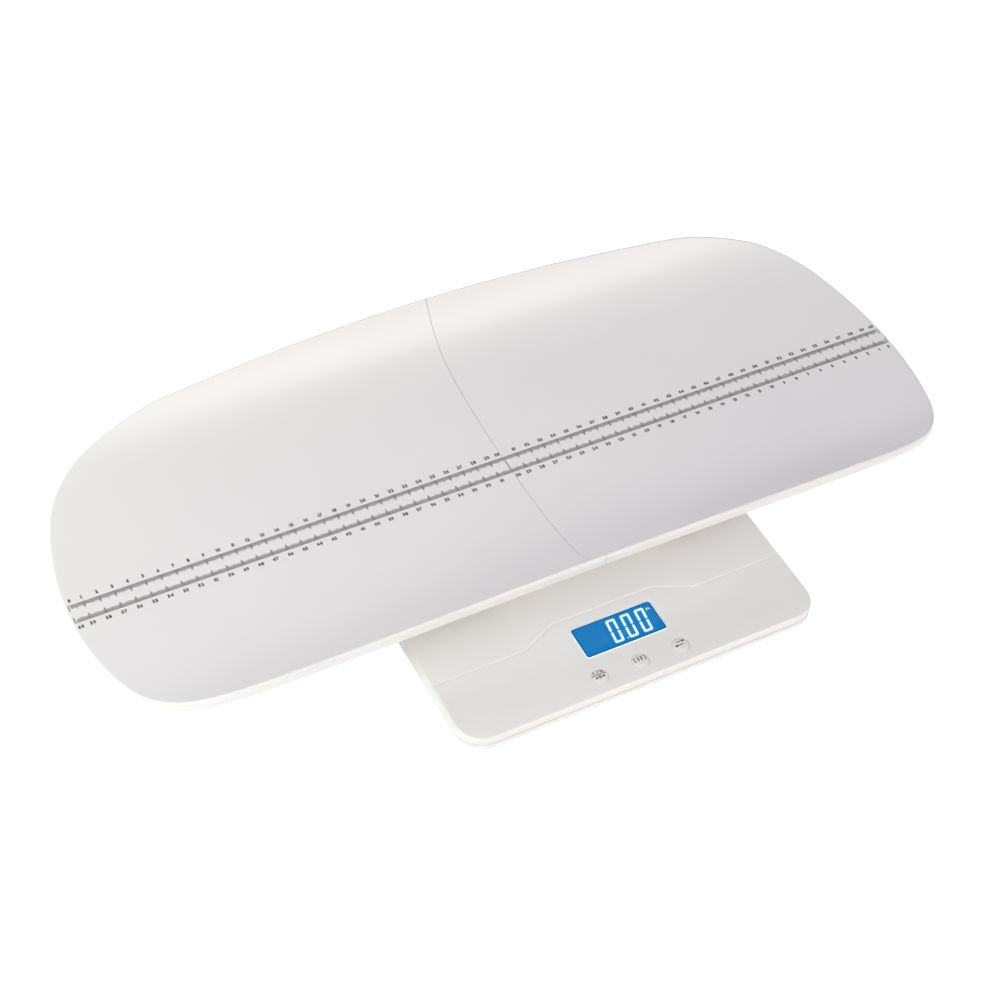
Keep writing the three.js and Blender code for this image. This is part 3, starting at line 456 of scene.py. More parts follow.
def plate(low: Point, high: Point, corner: float, steps: int = 8) -> BMesh:
    """Makes a flat plate with round corners.

    Args:
        low: Its lowest corner.
        high: Its highest corner.
        corner: The corner radius.
        steps: How many steps each corner takes.

    Returns:
        The closed mesh.
    """
    bm = bmesh.new()
    bmesh.ops.create_grid(bm, x_segments=1, y_segments=1, size=0.5)
    bmesh.ops.scale(bm, vec=(high[0] - low[0], high[1] - low[1], 1), verts=bm.verts[:])
    bevelled(bm, bm.verts[:], corner, steps, "VERTICES")
    middle = ((low[0] + high[0]) / 2, (low[1] + high[1]) / 2, low[2])
    bmesh.ops.translate(bm, vec=middle, verts=bm.verts[:])
    raised(bm, bm.faces[:], high[2] - low[2])
    return bm


def flat_faces(bm: BMesh, level: float) -> list[BMFace]:
    """The faces that lie flat at a level."""
    return [f for f in bm.faces if all(abs(v.co.z - level) < NEAR for v in f.verts)]


def cut(target: BMesh, tool: BMesh) -> BMesh:
    """Cuts one mesh with another.

    Args:
        target: The mesh that is cut, which is freed.
        tool: The mesh that cuts, which is freed.

    Returns:
        The new mesh.
    """
    kept, gone = placed("kept", written("kept", target)), placed("gone", written("gone", tool))
    change = kept.modifiers.new("cut", "BOOLEAN")
    change.solver, change.use_self, change.object = "EXACT", True, gone
    settled = settle(kept)
    bm = bmesh.new()
    bm.from_mesh(settled)
    for mesh in (kept.data, gone.data, settled):
        bpy.data.meshes.remove(mesh)
    return bm


@dataclass(frozen=True)
class Edges:
    """How a piece's edges are eased: the width, the steps and the least angle."""

    width: float = 0.25
    steps: int = 2
    angle: float = 35.0


def piece(name: str, bm: BMesh, finishes: list[Finish], body: Body,
          nodes: tuple[str, ...] = (), edges: Edges | None = None, smooth: bool = True) -> None:
    """Makes a finished piece from a mesh in millimetres.

    Args:
        name: The piece's name.
        bm: The mesh, which is freed.
        finishes: Its finishes, in the order of its material numbers.
        body: The CAD body that it rides on.
        nodes: The CAD nodes that it stands for.
        edges: How its edges are eased, or None where they stay as they are.
        smooth: Whether its faces are shaded as one smooth surface.
    """
    mesh = written(name, bm)
    for finish in finishes:
        mesh.materials.append(finish.material())
    made = placed(name, mesh)
    if smooth:
        mesh.shade_smooth()
    if edges:
        ease = made.modifiers.new("ease", "BEVEL")
        ease.limit_method, ease.angle_limit = "ANGLE", math.radians(edges.angle)
        ease.width, ease.segments = edges.width, edges.steps
    else:
        mesh.set_sharp_from_angle(angle=math.radians(SHARP_ANGLE))
    made.modifiers.new("weigh", "WEIGHTED_NORMAL").keep_sharp = True
    settled = settle(made)
    made.modifiers.clear()
    settled.transform(Matrix.Scale(MM, 4))
    made.data = settled
    bpy.data.meshes.remove(mesh)
    settled.name = name
    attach(made, body.value)
    if nodes:
        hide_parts(*nodes)
    log.info("%s: %d faces on %s", name, len(settled.polygons), body.value)


def merged_copy(node: str) -> BMesh:
    """Copies a CAD node and merges its loose triangles into flat faces.

    Args:
        node: The node's name.

    Returns:
        The mesh in millimetres.
    """
    bm = bmesh.new()
    bm.from_mesh(frame["nodes"][node].data)
    bmesh.ops.scale(bm, vec=(1 / MM, 1 / MM, 1 / MM), verts=bm.verts[:])
    bmesh.ops.remove_doubles(bm, verts=bm.verts[:], dist=0.001)
    bmesh.ops.dissolve_limit(
        bm, angle_limit=math.radians(0.5), verts=bm.verts[:], edges=bm.edges[:],
    )
    return bm


@dataclass
class Outline:
    """The tray's outline: four arcs in each quarter, from the long side to the end.

    Shoulder and corner are the radii of the two arcs between. Each arc takes its share of
    the quarter turn.
    """

    length: float = 606.0
    width: float = 254.2
    shoulder: float = 230.0
    corner: float = 66.5
    shares: tuple[float, ...] = (0.037, 0.168, 0.581, 0.214)
    steps: tuple[int, ...] = (10, 10, 24, 14)

    def __post_init__(self) -> None:
        """Works out the arcs' angles and centres, and the radii of the first and the last."""
        self.angles = [QUARTER]
        for share in self.shares:
            self.angles.append(self.angles[-1] - share * QUARTER)
        a, b, c, d = (
            (math.cos(end) - math.cos(start), math.sin(start) - math.sin(end))
            for start, end in pairwise(self.angles)
        )
        rest_x = self.length / 2 - self.shoulder * b[0] - self.corner * c[0]
        rest_y = self.width / 2 - self.shoulder * b[1] - self.corner * c[1]
        spread = a[0] * d[1] - d[0] * a[1]
        first = (rest_x * d[1] - d[0] * rest_y) / spread
        last = (a[0] * rest_y - rest_x * a[1]) / spread
        self.centres = []
        x, y = 0.0, self.width / 2
        radii = (first, self.shoulder, self.corner, last)
        for radius, (start, end) in zip(radii, pairwise(self.angles)):
            self.centres.append((x - radius * math.cos(start), y - radius * math.sin(start)))
            x += radius * (math.cos(end) - math.cos(start))
            y += radius * (math.sin(end) - math.sin(start))

    def ring(self, bm: BMesh, inset: float) -> None:
        """Spins the whole outline into a mesh as a ring of edges.

        Args:
            bm: The mesh.
            inset: How far the ring is drawn in.
        """
        last = bm.verts.new((0, self.width / 2 - inset, 0))
        for centre, share, steps in zip(self.centres, self.shares, self.steps):
            spun = bmesh.ops.spin(
                bm, geom=[last], cent=(*centre, 0), axis=(0, 0, 1), angle=-share * QUARTER,
                steps=steps, use_merge=False,
            )
            last = next(v for v in spun["geom_last"] if isinstance(v, BMVert))
        last.co.y = 0
        for axis in ("X", "Y"):
            bmesh.ops.mirror(
                bm, geom=bm.verts[:] + bm.edges[:], matrix=Matrix.Identity(4),
                merge_dist=0.001, axis=axis,
            )

    def outward(self, at: Vector) -> Vector:
        """Finds the outward direction near the outline.

        Args:
            at: A point, measured from the tray's middle.

        Returns:
            A flat vector of length one.
        """
        best, found = math.inf, Vector((0, 1, 0))
        for centre, (high, low) in zip(self.centres, pairwise(self.angles)):
            run = Vector((abs(at.x) - centre[0], abs(at.y) - centre[1], 0))
            angle = math.atan2(run.y, run.x)
            miss = max(angle - high, low - angle, 0)
            if miss < best:
                best, found = miss, run.normalized()
        return Vector((math.copysign(found.x, at.x), math.copysign(found.y, at.y), 0))


@dataclass
class Trough:
    """The lying surface: its level follows a curve across the tray.

    The rise is shared out among three powers of the distance from the middle line.
    """

    floor: float = 28.7
    rise: float = 42.4
    crest: float = 125.3
    shares: tuple[tuple[int, float], ...] = ((2, 0.3), (4, 0.105), (8, 0.595))

    def level(self, y: float) -> float:
        """The level at a distance from the tray's middle line."""
        r = min(abs(y) / self.crest, 1.0)
        return self.floor + self.rise * sum(share * r**power for power, share in self.shares)

    def slope(self, y: float) -> float:
        """The steepness at a distance from the middle line, taken at the crest past it."""
        r = min(abs(y) / self.crest, 1.0)
        return self.rise / self.crest * sum(
            power * share * r ** (power - 1) for power, share in self.shares
        )


@dataclass
class Tray:
    """The tray's two halves, with their rolled rim, rails and tongue sleeves.

    The groove under the rim has its drop, height and depth. Rail and sleeve have their
    distance from the middle line, width and lowest level. Spans run out from the seam. The
    slot in a sleeve has its width and its two levels.
    """

    outline: Outline = field(default_factory=Outline)
    trough: Trough = field(default_factory=Trough)
    roll: float = 2.15
    roll_steps: int = 8
    margin: float = 3.0
    skirt: float = 7.4
    skirt_wall: float = 2.6
    lip: float = 0.5
    groove: Point = (0.5, 0.75, 0.35)
    wall: float = 2.4
    bands: int = 36
    seam: float = 0.3
    rail: Point = (56.0, 12.0, 24.9)
    rail_span: Flat = (8.0, 116.5)
    sleeve: Point = (86.0, 19.8, 27.0)
    sleeve_span: Flat = (0.15, 62.0)
    slot: Point = (14.6, 28.6, 31.6)

    def __post_init__(self) -> None:
        """Takes the middle line's place from the frame."""
        self.middle = Box.of("tray_left").middle.y

    def rim_point(self, base: Vector, out: Vector, turn: float) -> Vector:
        """Finds a point of the rolled rim.

        Args:
            base: The point of the outline.
            out: The outward direction there.
            turn: Zero where the roll starts and one where the skirt starts.

        Returns:
            The point, at its true level.
        """
        start = base - out * self.roll
        climb = math.atan(self.trough.slope(start.y) * abs(out.y))
        radius = self.roll / (1 + math.sin(climb))
        angle = climb - turn * (climb + QUARTER)
        point = start + out * radius * (math.sin(climb) - math.sin(angle))
        point.z = self.trough.level(start.y) + radius * (math.cos(angle) - math.cos(climb))
        return point

    def section(self, base: Vector, out: Vector) -> list[Vector]:
        """Follows the rim from the lying surface to the underside.

        Args:
            base: The point of the outline.
            out: The outward direction there.

        Returns:
            The points, at their true levels. Only the last one belongs to the underside.
        """
        turns = [step / self.roll_steps for step in range(self.roll_steps + 1)]
        points = [self.rim_point(base, out, turn) for turn in turns]
        drop, tall, deep = self.groove
        edge = points[-1].z - drop
        bottom = self.trough.level((base - out * self.roll).y) - self.skirt
        lip = self.lip
        foot = [(0.0, lip), (0.3 * lip, 0.3 * lip), (lip, 0.0)]
        foot += [(self.skirt_wall - inset, lift) for inset, lift in reversed(foot)]
        root = base - out * self.skirt_wall
        under = max(self.trough.level(root.y) - self.wall, bottom + 2 * lip)
        for inset, level in (
            (0.0, edge), (deep, edge - 0.3 * tall), (deep, edge - 0.7 * tall), (0.0, edge - tall),
            *((inset, bottom + lift) for inset, lift in foot), (self.skirt_wall, under),
        ):
            points.append(base - out * inset)
            points[-1].z = level
        return points

    def shell(self) -> BMesh:
        """Makes the whole tray before it is parted.

        Returns:
            The closed mesh of the lying surface, the rim, the skirt and the underside.
        """
        bm = bmesh.new()
        under = bm.verts.layers.float.new("under")
        inset = self.roll + self.margin
        self.outline.ring(bm, inset)
        bmesh.ops.contextual_create(bm, geom=bm.edges[:])
        sections = {}
        for vert in bm.verts:
            out = self.outline.outward(vert.co)
            sections[vert] = self.section(vert.co + out * inset, out)
        edges = bm.edges[:]
        last = len(sections[vert]) - 1
        for step in range(last + 1):
            known = {tuple(vert.co): section for vert, section in sections.items()}
            grown = bmesh.ops.extrude_edge_only(bm, edges=edges)["geom"]
            sections = {v: known[tuple(v.co)] for v in grown if isinstance(v, BMVert)}
            edges = [
                item for item in grown
                if isinstance(item, BMEdge) and all(v in sections for v in item.verts)
            ]
            for vert, section in sections.items():
                vert.co = section[step]
                vert.co.z -= self.trough.level(vert.co.y)
                vert[under] = float(step == last)
        bmesh.ops.contextual_create(bm, geom=edges)
        for band in range(-self.bands, self.bands + 1):
            across = self.trough.crest * math.sin(band / self.bands * QUARTER)
            sliced(bm, (0, across, 0), (0, 1, 0))
        for vert in bm.verts:
            y = vert.co.y
            extra = vert[under] * self.wall * (math.hypot(1, self.trough.slope(y)) - 1)
            vert.co.z += self.trough.level(y) - extra
        return outwards(bm)

    def half(self, side: int) -> BMesh:
        """Cuts one half of the shell off square at the seam.

        Args:
            side: 1 for the right half and -1 for the left one.

        Returns:
            The closed mesh.
        """
        bm = self.shell()
        sliced(bm, (side * self.seam / 2, 0, 0), (-side, 0, 0), True)
        bmesh.ops.contextual_create(bm, geom=[edge for edge in bm.edges if edge.is_boundary])
        return outwards(bm)

    def bore(self, sleeve: BMesh, at: float) -> None:
        """Opens a sleeve from end to end for its tongue.

        Args:
            sleeve: The closed sleeve.
            at: Its middle along Y.
        """
        wide, low, high = self.slot
        ends = [f for f in sleeve.faces if abs(f.normal.x) > 0.9]
        bmesh.ops.inset_individual(sleeve, faces=ends, thickness=1.0)
        for face in ends:
            second = sorted(v.co.z for v in face.verts)[1]
            for vert in face.verts:
                vert.co.y = at + math.copysign(wide / 2, vert.co.y - at)
                vert.co.z = low if vert.co.z < second + NEAR else high
        loops = [edge for face in ends for edge in face.edges]
        bmesh.ops.delete(sleeve, geom=ends, context="FACES_ONLY")
        bmesh.ops.bridge_loops(sleeve, edges=loops)
        outwards(sleeve)

    def fittings(self, side: int) -> BMesh:
        """Makes the rails and the sleeves under one half.

        Args:
            side: 1 for the right half and -1 for the left one.

        Returns:
            The closed meshes, with their tops in the middle of the tray's wall.
        """
        parts = []
        kinds = ((self.rail, self.rail_span), (self.sleeve, self.sleeve_span))
        top = self.trough.floor + self.trough.rise
        for edge, ((away, width, bottom), span) in product((-1, 1), kinds):
            at = edge * away
            near, far = sorted(side * x for x in span)
            bar = block((near, at - width / 2, bottom), (far, at + width / 2, top))
            for vert in bar.verts:
                if abs(vert.co.z - top) < NEAR:
                    sunk = self.wall / 2 * math.hypot(1, self.trough.slope(vert.co.y))
                    vert.co.z = self.trough.level(vert.co.y) - sunk
            if span is self.sleeve_span:
                self.bore(bar, at)
            parts.append(bar)
        return islands(*parts)

    def build(self) -> None:
        """Makes both halves and the tongues between them."""
        for side, word, body in HALVES:
            bm = islands(self.half(side), self.fittings(side))
            bmesh.ops.translate(bm, vec=(0, self.middle, 0), verts=bm.verts[:])
            piece(f"tray_half_{word}", bm, [TRAY_ABS], body, (f"tray_{word}",),
                  Edges(angle=50))
        for word in ("front", "back"):
            node = f"join_tongue_{word}"
            piece(f"tongue_{word}", merged_copy(node), [WHITE_NYLON], Body.LEFT_HALF,
                  (node,), Edges())


Figures = dict[str, tuple[Mesh, float]]


@dataclass
class Ruler:
    """The ruler printed along the tray: two rows of marks with numbers outside them.

    Marks have one length for a millimetre, five and ten. The numbers beside the seam and
    at the ends stand off their marks by a shift.
    """

    tray: Tray
    reach: int = 300
    line: float = 7.3
    line_width: float = 0.3
    cells: int = 60
    marks: Point = (2.8, 3.8, 4.6)
    mark_width: float = 0.52
    wide_mark: float = 0.75
    figure_middle: float = 11.05
    figure_height: float = 2.85
    figure_gap: float = 0.38
    figure_weight: float = 0.065
    figure_narrowing: float = 0.86
    shift: float = -0.35
    seam_gap: float = 0.15
    seam_mark: float = 0.18
    seam_shift: float = 2.35
    end_shift: float = 2.4
    lift: float = 0.03
    sink: float = 0.05

    def figures(self) -> Figures:
        """Makes each figure once as a thin closed mesh.

        Returns:
            Each figure's mesh, with its lower left corner at zero, and its width.
        """
        made = {}
        for figure in "0123456789":
            curve = bpy.data.curves.new(figure, "FONT")
            curve.body = figure
            curve.resolution_u = 2
            curve.offset = self.figure_weight
            curve.extrude = THIN / 2
            text = placed(figure, curve)
            bpy.context.view_layer.update()
            mesh = settle(text)
            bpy.data.curves.remove(curve)
            xs, ys = ([v.co[axis] for v in mesh.vertices] for axis in (0, 1))
            scale = self.figure_height / (max(ys) - min(ys))
            across = scale * self.figure_narrowing
            corner = Matrix.Translation((-min(xs), -min(ys), 0))
            mesh.transform(Matrix.Diagonal((across, scale, 1, 1)) @ corner)
            made[figure] = (mesh, across * (max(xs) - min(xs)))
        return made

    def number(self, bm: BMesh, value: int, middle: Flat, figures: Figures) -> None:
        """Sets one number upright to the front.

        Args:
            bm: The print.
            value: The number.
            middle: Its middle.
            figures: The figures' meshes and widths.
        """
        x, y = middle
        row = [figures[figure] for figure in str(value)]
        x -= (sum(width + self.figure_gap for _, width in row) - self.figure_gap) / 2
        for mesh, width in row:
            first = len(bm.verts)
            bm.from_mesh(mesh)
            bm.verts.ensure_lookup_table()
            corner = (x, y - self.figure_height / 2, 0)
            bmesh.ops.translate(bm, vec=corner, verts=bm.verts[first:])
            x += width + self.figure_gap

    def strip(self, bm: BMesh, x: Flat, y: Flat) -> None:
        """Lays one strip of ink between two places along X and two along Y, in any order."""
        size = (abs(x[1] - x[0]), abs(y[1] - y[0]), THIN)
        add_block(bm, ((x[0] + x[1]) / 2, (y[0] + y[1]) / 2, 0), size)

    def half(self, side: int, figures: Figures) -> BMesh:
        """Makes the print on one half of the tray.

        Args:
            side: 1 for the right half and -1 for the left one.
            figures: The figures' meshes and widths.

        Returns:
            The mesh, laid on the tray.
        """
        bm = bmesh.new()
        near = self.tray.seam / 2 + self.seam_gap
        cell = (self.reach - near) / self.cells
        tens = self.reach // 10
        for row in (-1, 1):
            line = row * self.line
            for i in range(self.cells):
                span = (side * (near + cell * i), side * (near + cell * (i + 1)))
                self.strip(bm, span, (line, line - row * self.line_width))
            for at in (*range(1, self.reach - 1), self.reach):
                size = self.marks[(at % 5 == 0) + (at % 10 == 0)]
                half = (self.wide_mark if at % 10 == 0 and at < self.reach else self.mark_width) / 2
                middle = side * (at - half if at == self.reach else at)
                self.strip(bm, (middle - half, middle + half), (line, line - row * size))
            if row > 0:
                self.strip(bm, (side * near, side * (near + self.seam_mark)), (-line, line))
            for ten in range(row * side > 0, tens + 1):
                across = min(max(10 * ten, self.seam_shift), self.reach - self.end_shift)
                middle = (side * across, row * self.figure_middle)
                self.number(bm, tens + row * side * ten, middle, figures)
        for vert in bm.verts:
            vert.co.y += self.shift
            ground = self.tray.trough.level(vert.co.y)
            vert.co.z = ground + (self.lift if vert.co.z > 0 else -self.sink)
            vert.co.y += self.tray.middle
        return bm

    def build(self) -> None:
        """Prints both halves."""
        figures = self.figures()
        for side, word, body in HALVES:
            piece(f"ruler_print_{word}", self.half(side, figures), [PRINT_INK], body)
        for mesh, _ in figures.values():
            bpy.data.meshes.remove(mesh)


@dataclass
class Platform:
    """The platform's cover and pan.

    The window's hole has its two sizes and corner radius, and a channel its distance from
    the tray's middle, width and depth. The styling line has its distances from the front
    at the sides and in the middle, and the places along X where its slants start and end.
    """

    corner: float = 18.0
    corner_steps: int = 16
    edge: float = 2.0
    edge_steps: int = 5
    wall: float = 2.5
    skirt: float = 6.0
    draft: float = 0.6
    window: Point = (58.3, 25.4, 2.8)
    window_ahead: float = 40.1
    button_radius: float = 5.66
    button_ahead: float = 12.8
    button_pitch: float = 28.5
    channel: Point = (56.0, 12.6, 1.4)
    line_width: float = 1.8
    line_depth: float = 1.0
    line_fade: float = 0.03
    line_ahead: Flat = (49.7, 60.8)
    line_slant: Flat = (60.0, 35.5)
    clear: float = 2.0

    def __post_init__(self) -> None:
        """Takes the platform's place and size from the frame."""
        self.box = Box.of("platform_cover")
        self.width, self.depth, _ = self.box.high - self.box.low
        self.front, self.top = self.box.low.y, self.box.high.z
        self.tray_middle = Box.of("tray_left").middle.y

    def cover(self) -> BMesh:
        """Makes the cover: a shell with a rounded top edge, openings and channels.

        Returns:
            The closed mesh.
        """
        bottom, past = self.top - self.skirt, self.top + self.clear
        bm = plate((*self.box.low.xy, bottom), self.box.high, self.corner, self.corner_steps)
        rim = [e for f in flat_faces(bm, self.top) for e in f.edges]
        bevelled(bm, rim, self.edge, self.edge_steps)
        base = flat_faces(bm, bottom)
        bmesh.ops.scale(
            bm, vec=(1, 1 - 2 * self.draft / self.depth, 1),
            space=Matrix.Translation((0, -self.box.middle.y, 0)),
            verts=list({v for f in base for v in f.verts}),
        )
        bmesh.ops.inset_region(bm, faces=base, thickness=self.wall, use_even_offset=True)
        raised(bm, base, self.skirt - self.wall)
        wide, deep, corner = self.window
        y = self.front + self.window_ahead
        tools = [plate((-wide / 2, y - deep / 2, bottom), (wide / 2, y + deep / 2, past), corner)]
        r = self.button_radius
        for at in (-1, 0, 1):
            hole = [(0, bottom), (r, bottom), (r, past), (0, past)]
            place = (at * self.button_pitch, self.front + self.button_ahead)
            tools.append(lathe(hole, 48, place))
        away, wide, deep = self.channel
        for edge in (-1, 1):
            y = self.tray_middle + edge * away
            low = (-self.width, y - wide / 2, self.top - deep)
            tools.append(block(low, (self.width, y + wide / 2, past)))
        return cut(bm, islands(*tools, self.styling_line()))

    def styling_line(self) -> BMesh:
        """Makes the cutter of the pressed line, deep in front and rising to the surface behind.

        Returns:
            The closed mesh.
        """
        ahead, behind = (self.front + away for away in self.line_ahead)
        outer, inner = self.line_slant
        path = [(-self.width, ahead), (-outer, ahead), (-inner, behind), (inner, behind),
                (outer, ahead), (self.width, ahead)]
        bm = bmesh.new()
        half = self.line_width / 2
        front, back = (
            [bm.verts.new((x, y + shift, self.top - depth)) for x, y in path]
            for shift, depth in ((-half, self.line_depth), (half, self.line_fade))
        )
        for (a, b), (c, d) in zip(pairwise(front), pairwise(back)):
            bm.faces.new((a, b, d, c))
        raised(bm, bm.faces[:], self.line_depth + self.clear)
        return bm

    def build(self) -> None:
        """Makes the cover and the pan."""
        piece("cover_shell", self.cover(), [CASING_ABS], Body.PLATFORM,
              ("platform_cover",), Edges(0.3, 2, 40))
        piece("pan_shell", merged_copy("platform_pan"), [CASING_ABS], Body.PLATFORM,
              ("platform_pan",), Edges(angle=40))


@dataclass
class Display:
    """The window and the figures on the lit glass behind it.

    The decimal point has its distance before the second figure and its size. A bar of the
    unit mark has its middle and its two sizes.
    """

    digit_left: float = -7.0
    digit_low: float = -9.2
    digit_pitch: float = 10.2
    digit_width: float = 6.6
    digit_height: float = 18.2
    stroke: float = 1.75
    stroke_gap: float = 0.7
    stroke_cut: float = 0.49
    slant: float = 0.11
    shift: Flat = (1.1, 1.6)
    point: Flat = (1.2, 1.1)
    unit: Flat = (-1.55, -2.6)
    unit_bars: tuple = ((-0.1, 0.1, 0.7, 1.7), (0.6, 0.65, 0.9, 0.6), (1.6, 0, 0.7, 1.2))
    lift: float = 0.03
    thickness: float = 0.04
    flange: float = 2.0
    flange_height: float = 1.2
    flange_corner: float = 4.5
    rim: float = 0.75
    rim_steps: int = 4
    mask: float = 0.8
    grow: Point = (0.8, 0.6, 0)

    def __post_init__(self) -> None:
        """Takes the display's place from the frame."""
        window, self.glass = Box.of("display_window"), Box.of("display_panel")
        self.box = Box(window.low - Vector(self.grow), window.high + Vector(self.grow))

    def bar(self, bm: BMesh, middle: Flat, size: Flat) -> None:
        """Lays one lit bar with cut corners.

        Args:
            bm: The figures.
            middle: The bar's middle.
            size: Its sizes along X and Y.
        """
        made = add_block(bm, (*middle, 0), (*size, self.thickness))
        upright = [e for v in made for e in v.link_edges if e.other_vert(v).co.z - v.co.z > NEAR]
        bevelled(bm, upright, self.stroke_cut, 1)

    def figures(self) -> BMesh:
        """Makes the reading 0.00 in lit bars, and a small unit mark.

        Returns:
            The mesh, laid on the glass.
        """
        bm = bmesh.new()
        low, half, gap = self.digit_low, self.stroke / 2, self.stroke_gap
        top = low + self.digit_height
        for digit in range(3):
            left = self.digit_left + digit * self.digit_pitch
            right = left + self.digit_width
            tall = (self.stroke, self.digit_height / 2 - gap)
            for x, part in product((left + half, right - half), (0.25, 0.75)):
                self.bar(bm, (x, low + part * self.digit_height), tall)
            for y in (low + half, top - half):
                self.bar(bm, ((left + right) / 2, y), (self.digit_width - gap, self.stroke))
        before, size = self.point
        self.bar(bm, (self.digit_left + self.digit_pitch - before, low + half), (size, size))
        right, up = self.digit_left + 3 * self.digit_pitch + self.unit[0], top + self.unit[1]
        for x, y, width, height in self.unit_bars:
            add_block(bm, (right + x, up + y, 0), (width, height, self.thickness))
        for vert in bm.verts:
            vert.co.x += self.slant * (vert.co.y - low) + self.glass.middle.x + self.shift[0]
            vert.co.y += self.glass.middle.y + self.shift[1]
            vert.co.z += self.glass.high.z + self.lift
        return bm

    def window(self) -> BMesh:
        """Makes the clear plug with its flange, a frosted bevel and a printed frame.

        Returns:
            The closed mesh.
        """
        low, high = self.box.low, self.box.high
        shoulder = low.z + self.flange_height
        bm = plate(low, (*high.xy, shoulder), self.flange_corner)
        face = flat_faces(bm, shoulder)
        bmesh.ops.inset_region(bm, faces=face, thickness=self.flange, use_even_offset=True)
        raised(bm, face, high.z - shoulder)
        bmesh.ops.delete(bm, geom=[f for f in face if f.is_valid], context="FACES_ONLY")
        outwards(bm)
        rim = [e for f in flat_faces(bm, high.z) for e in f.edges]
        for slope in bevelled(bm, rim, self.rim, self.rim_steps):
            if slope.normal.z < 1 - NEAR:  # the flat face itself stays clear
                slope.material_index = 1
        top = flat_faces(bm, high.z)
        for border in bmesh.ops.inset_region(bm, faces=top, thickness=self.mask)["faces"]:
            border.material_index = 2
        return bm

    def build(self) -> None:
        """Makes the window and the figures."""
        piece("window_plug", self.window(), [WINDOW_ACRYLIC, WINDOW_RIM, WINDOW_MASK],
              Body.PLATFORM, ("display_window",), smooth=False)
        piece("display_figures", self.figures(), [LIT_FIGURE], Body.PLATFORM,
              smooth=False)


INK = 0.55  # width of a printed line on a button


@dataclass(frozen=True)
class Strokes:
    """What a mark is made of: what the methods bar, ring and arrow of Buttons take."""

    bars: tuple = ()
    rings: tuple = ()
    arrows: tuple = ()


class Mark(Enum):
    """The generic marks printed on the buttons."""

    POWER = Strokes(
        (((0, 0.2), (9.4, INK)), ((-2.7, 2.2), (0.7, 1.8)), ((0, 2.2), (INK, 2.2), -28)),
        (((2.7, 2.2), 0.8), ((0, -1.8), 0.75)),
        (((-2.8, -1.8), 1.2, 1, 1.0), ((2.8, -1.8), 1.2, -1, 1.0)),
    )
    HOLD = Strokes((
        ((-3.7, 0), (0.45, 3.2)), ((-1.1, 0), (0.8, 3.2)), ((1.1, 0), (0.8, 3.2)),
        ((3.7, 0), (0.45, 3.2)), *((at, (0.9, INK)) for at in product((-3.3, 3.3), (-1.37, 1.37))),
    ))
    UNIT = Strokes(arrows=(((0.4, 1.3), 4.8, 1, 1.2), ((-0.4, -1.3), 4.8, -1, 1.2)))


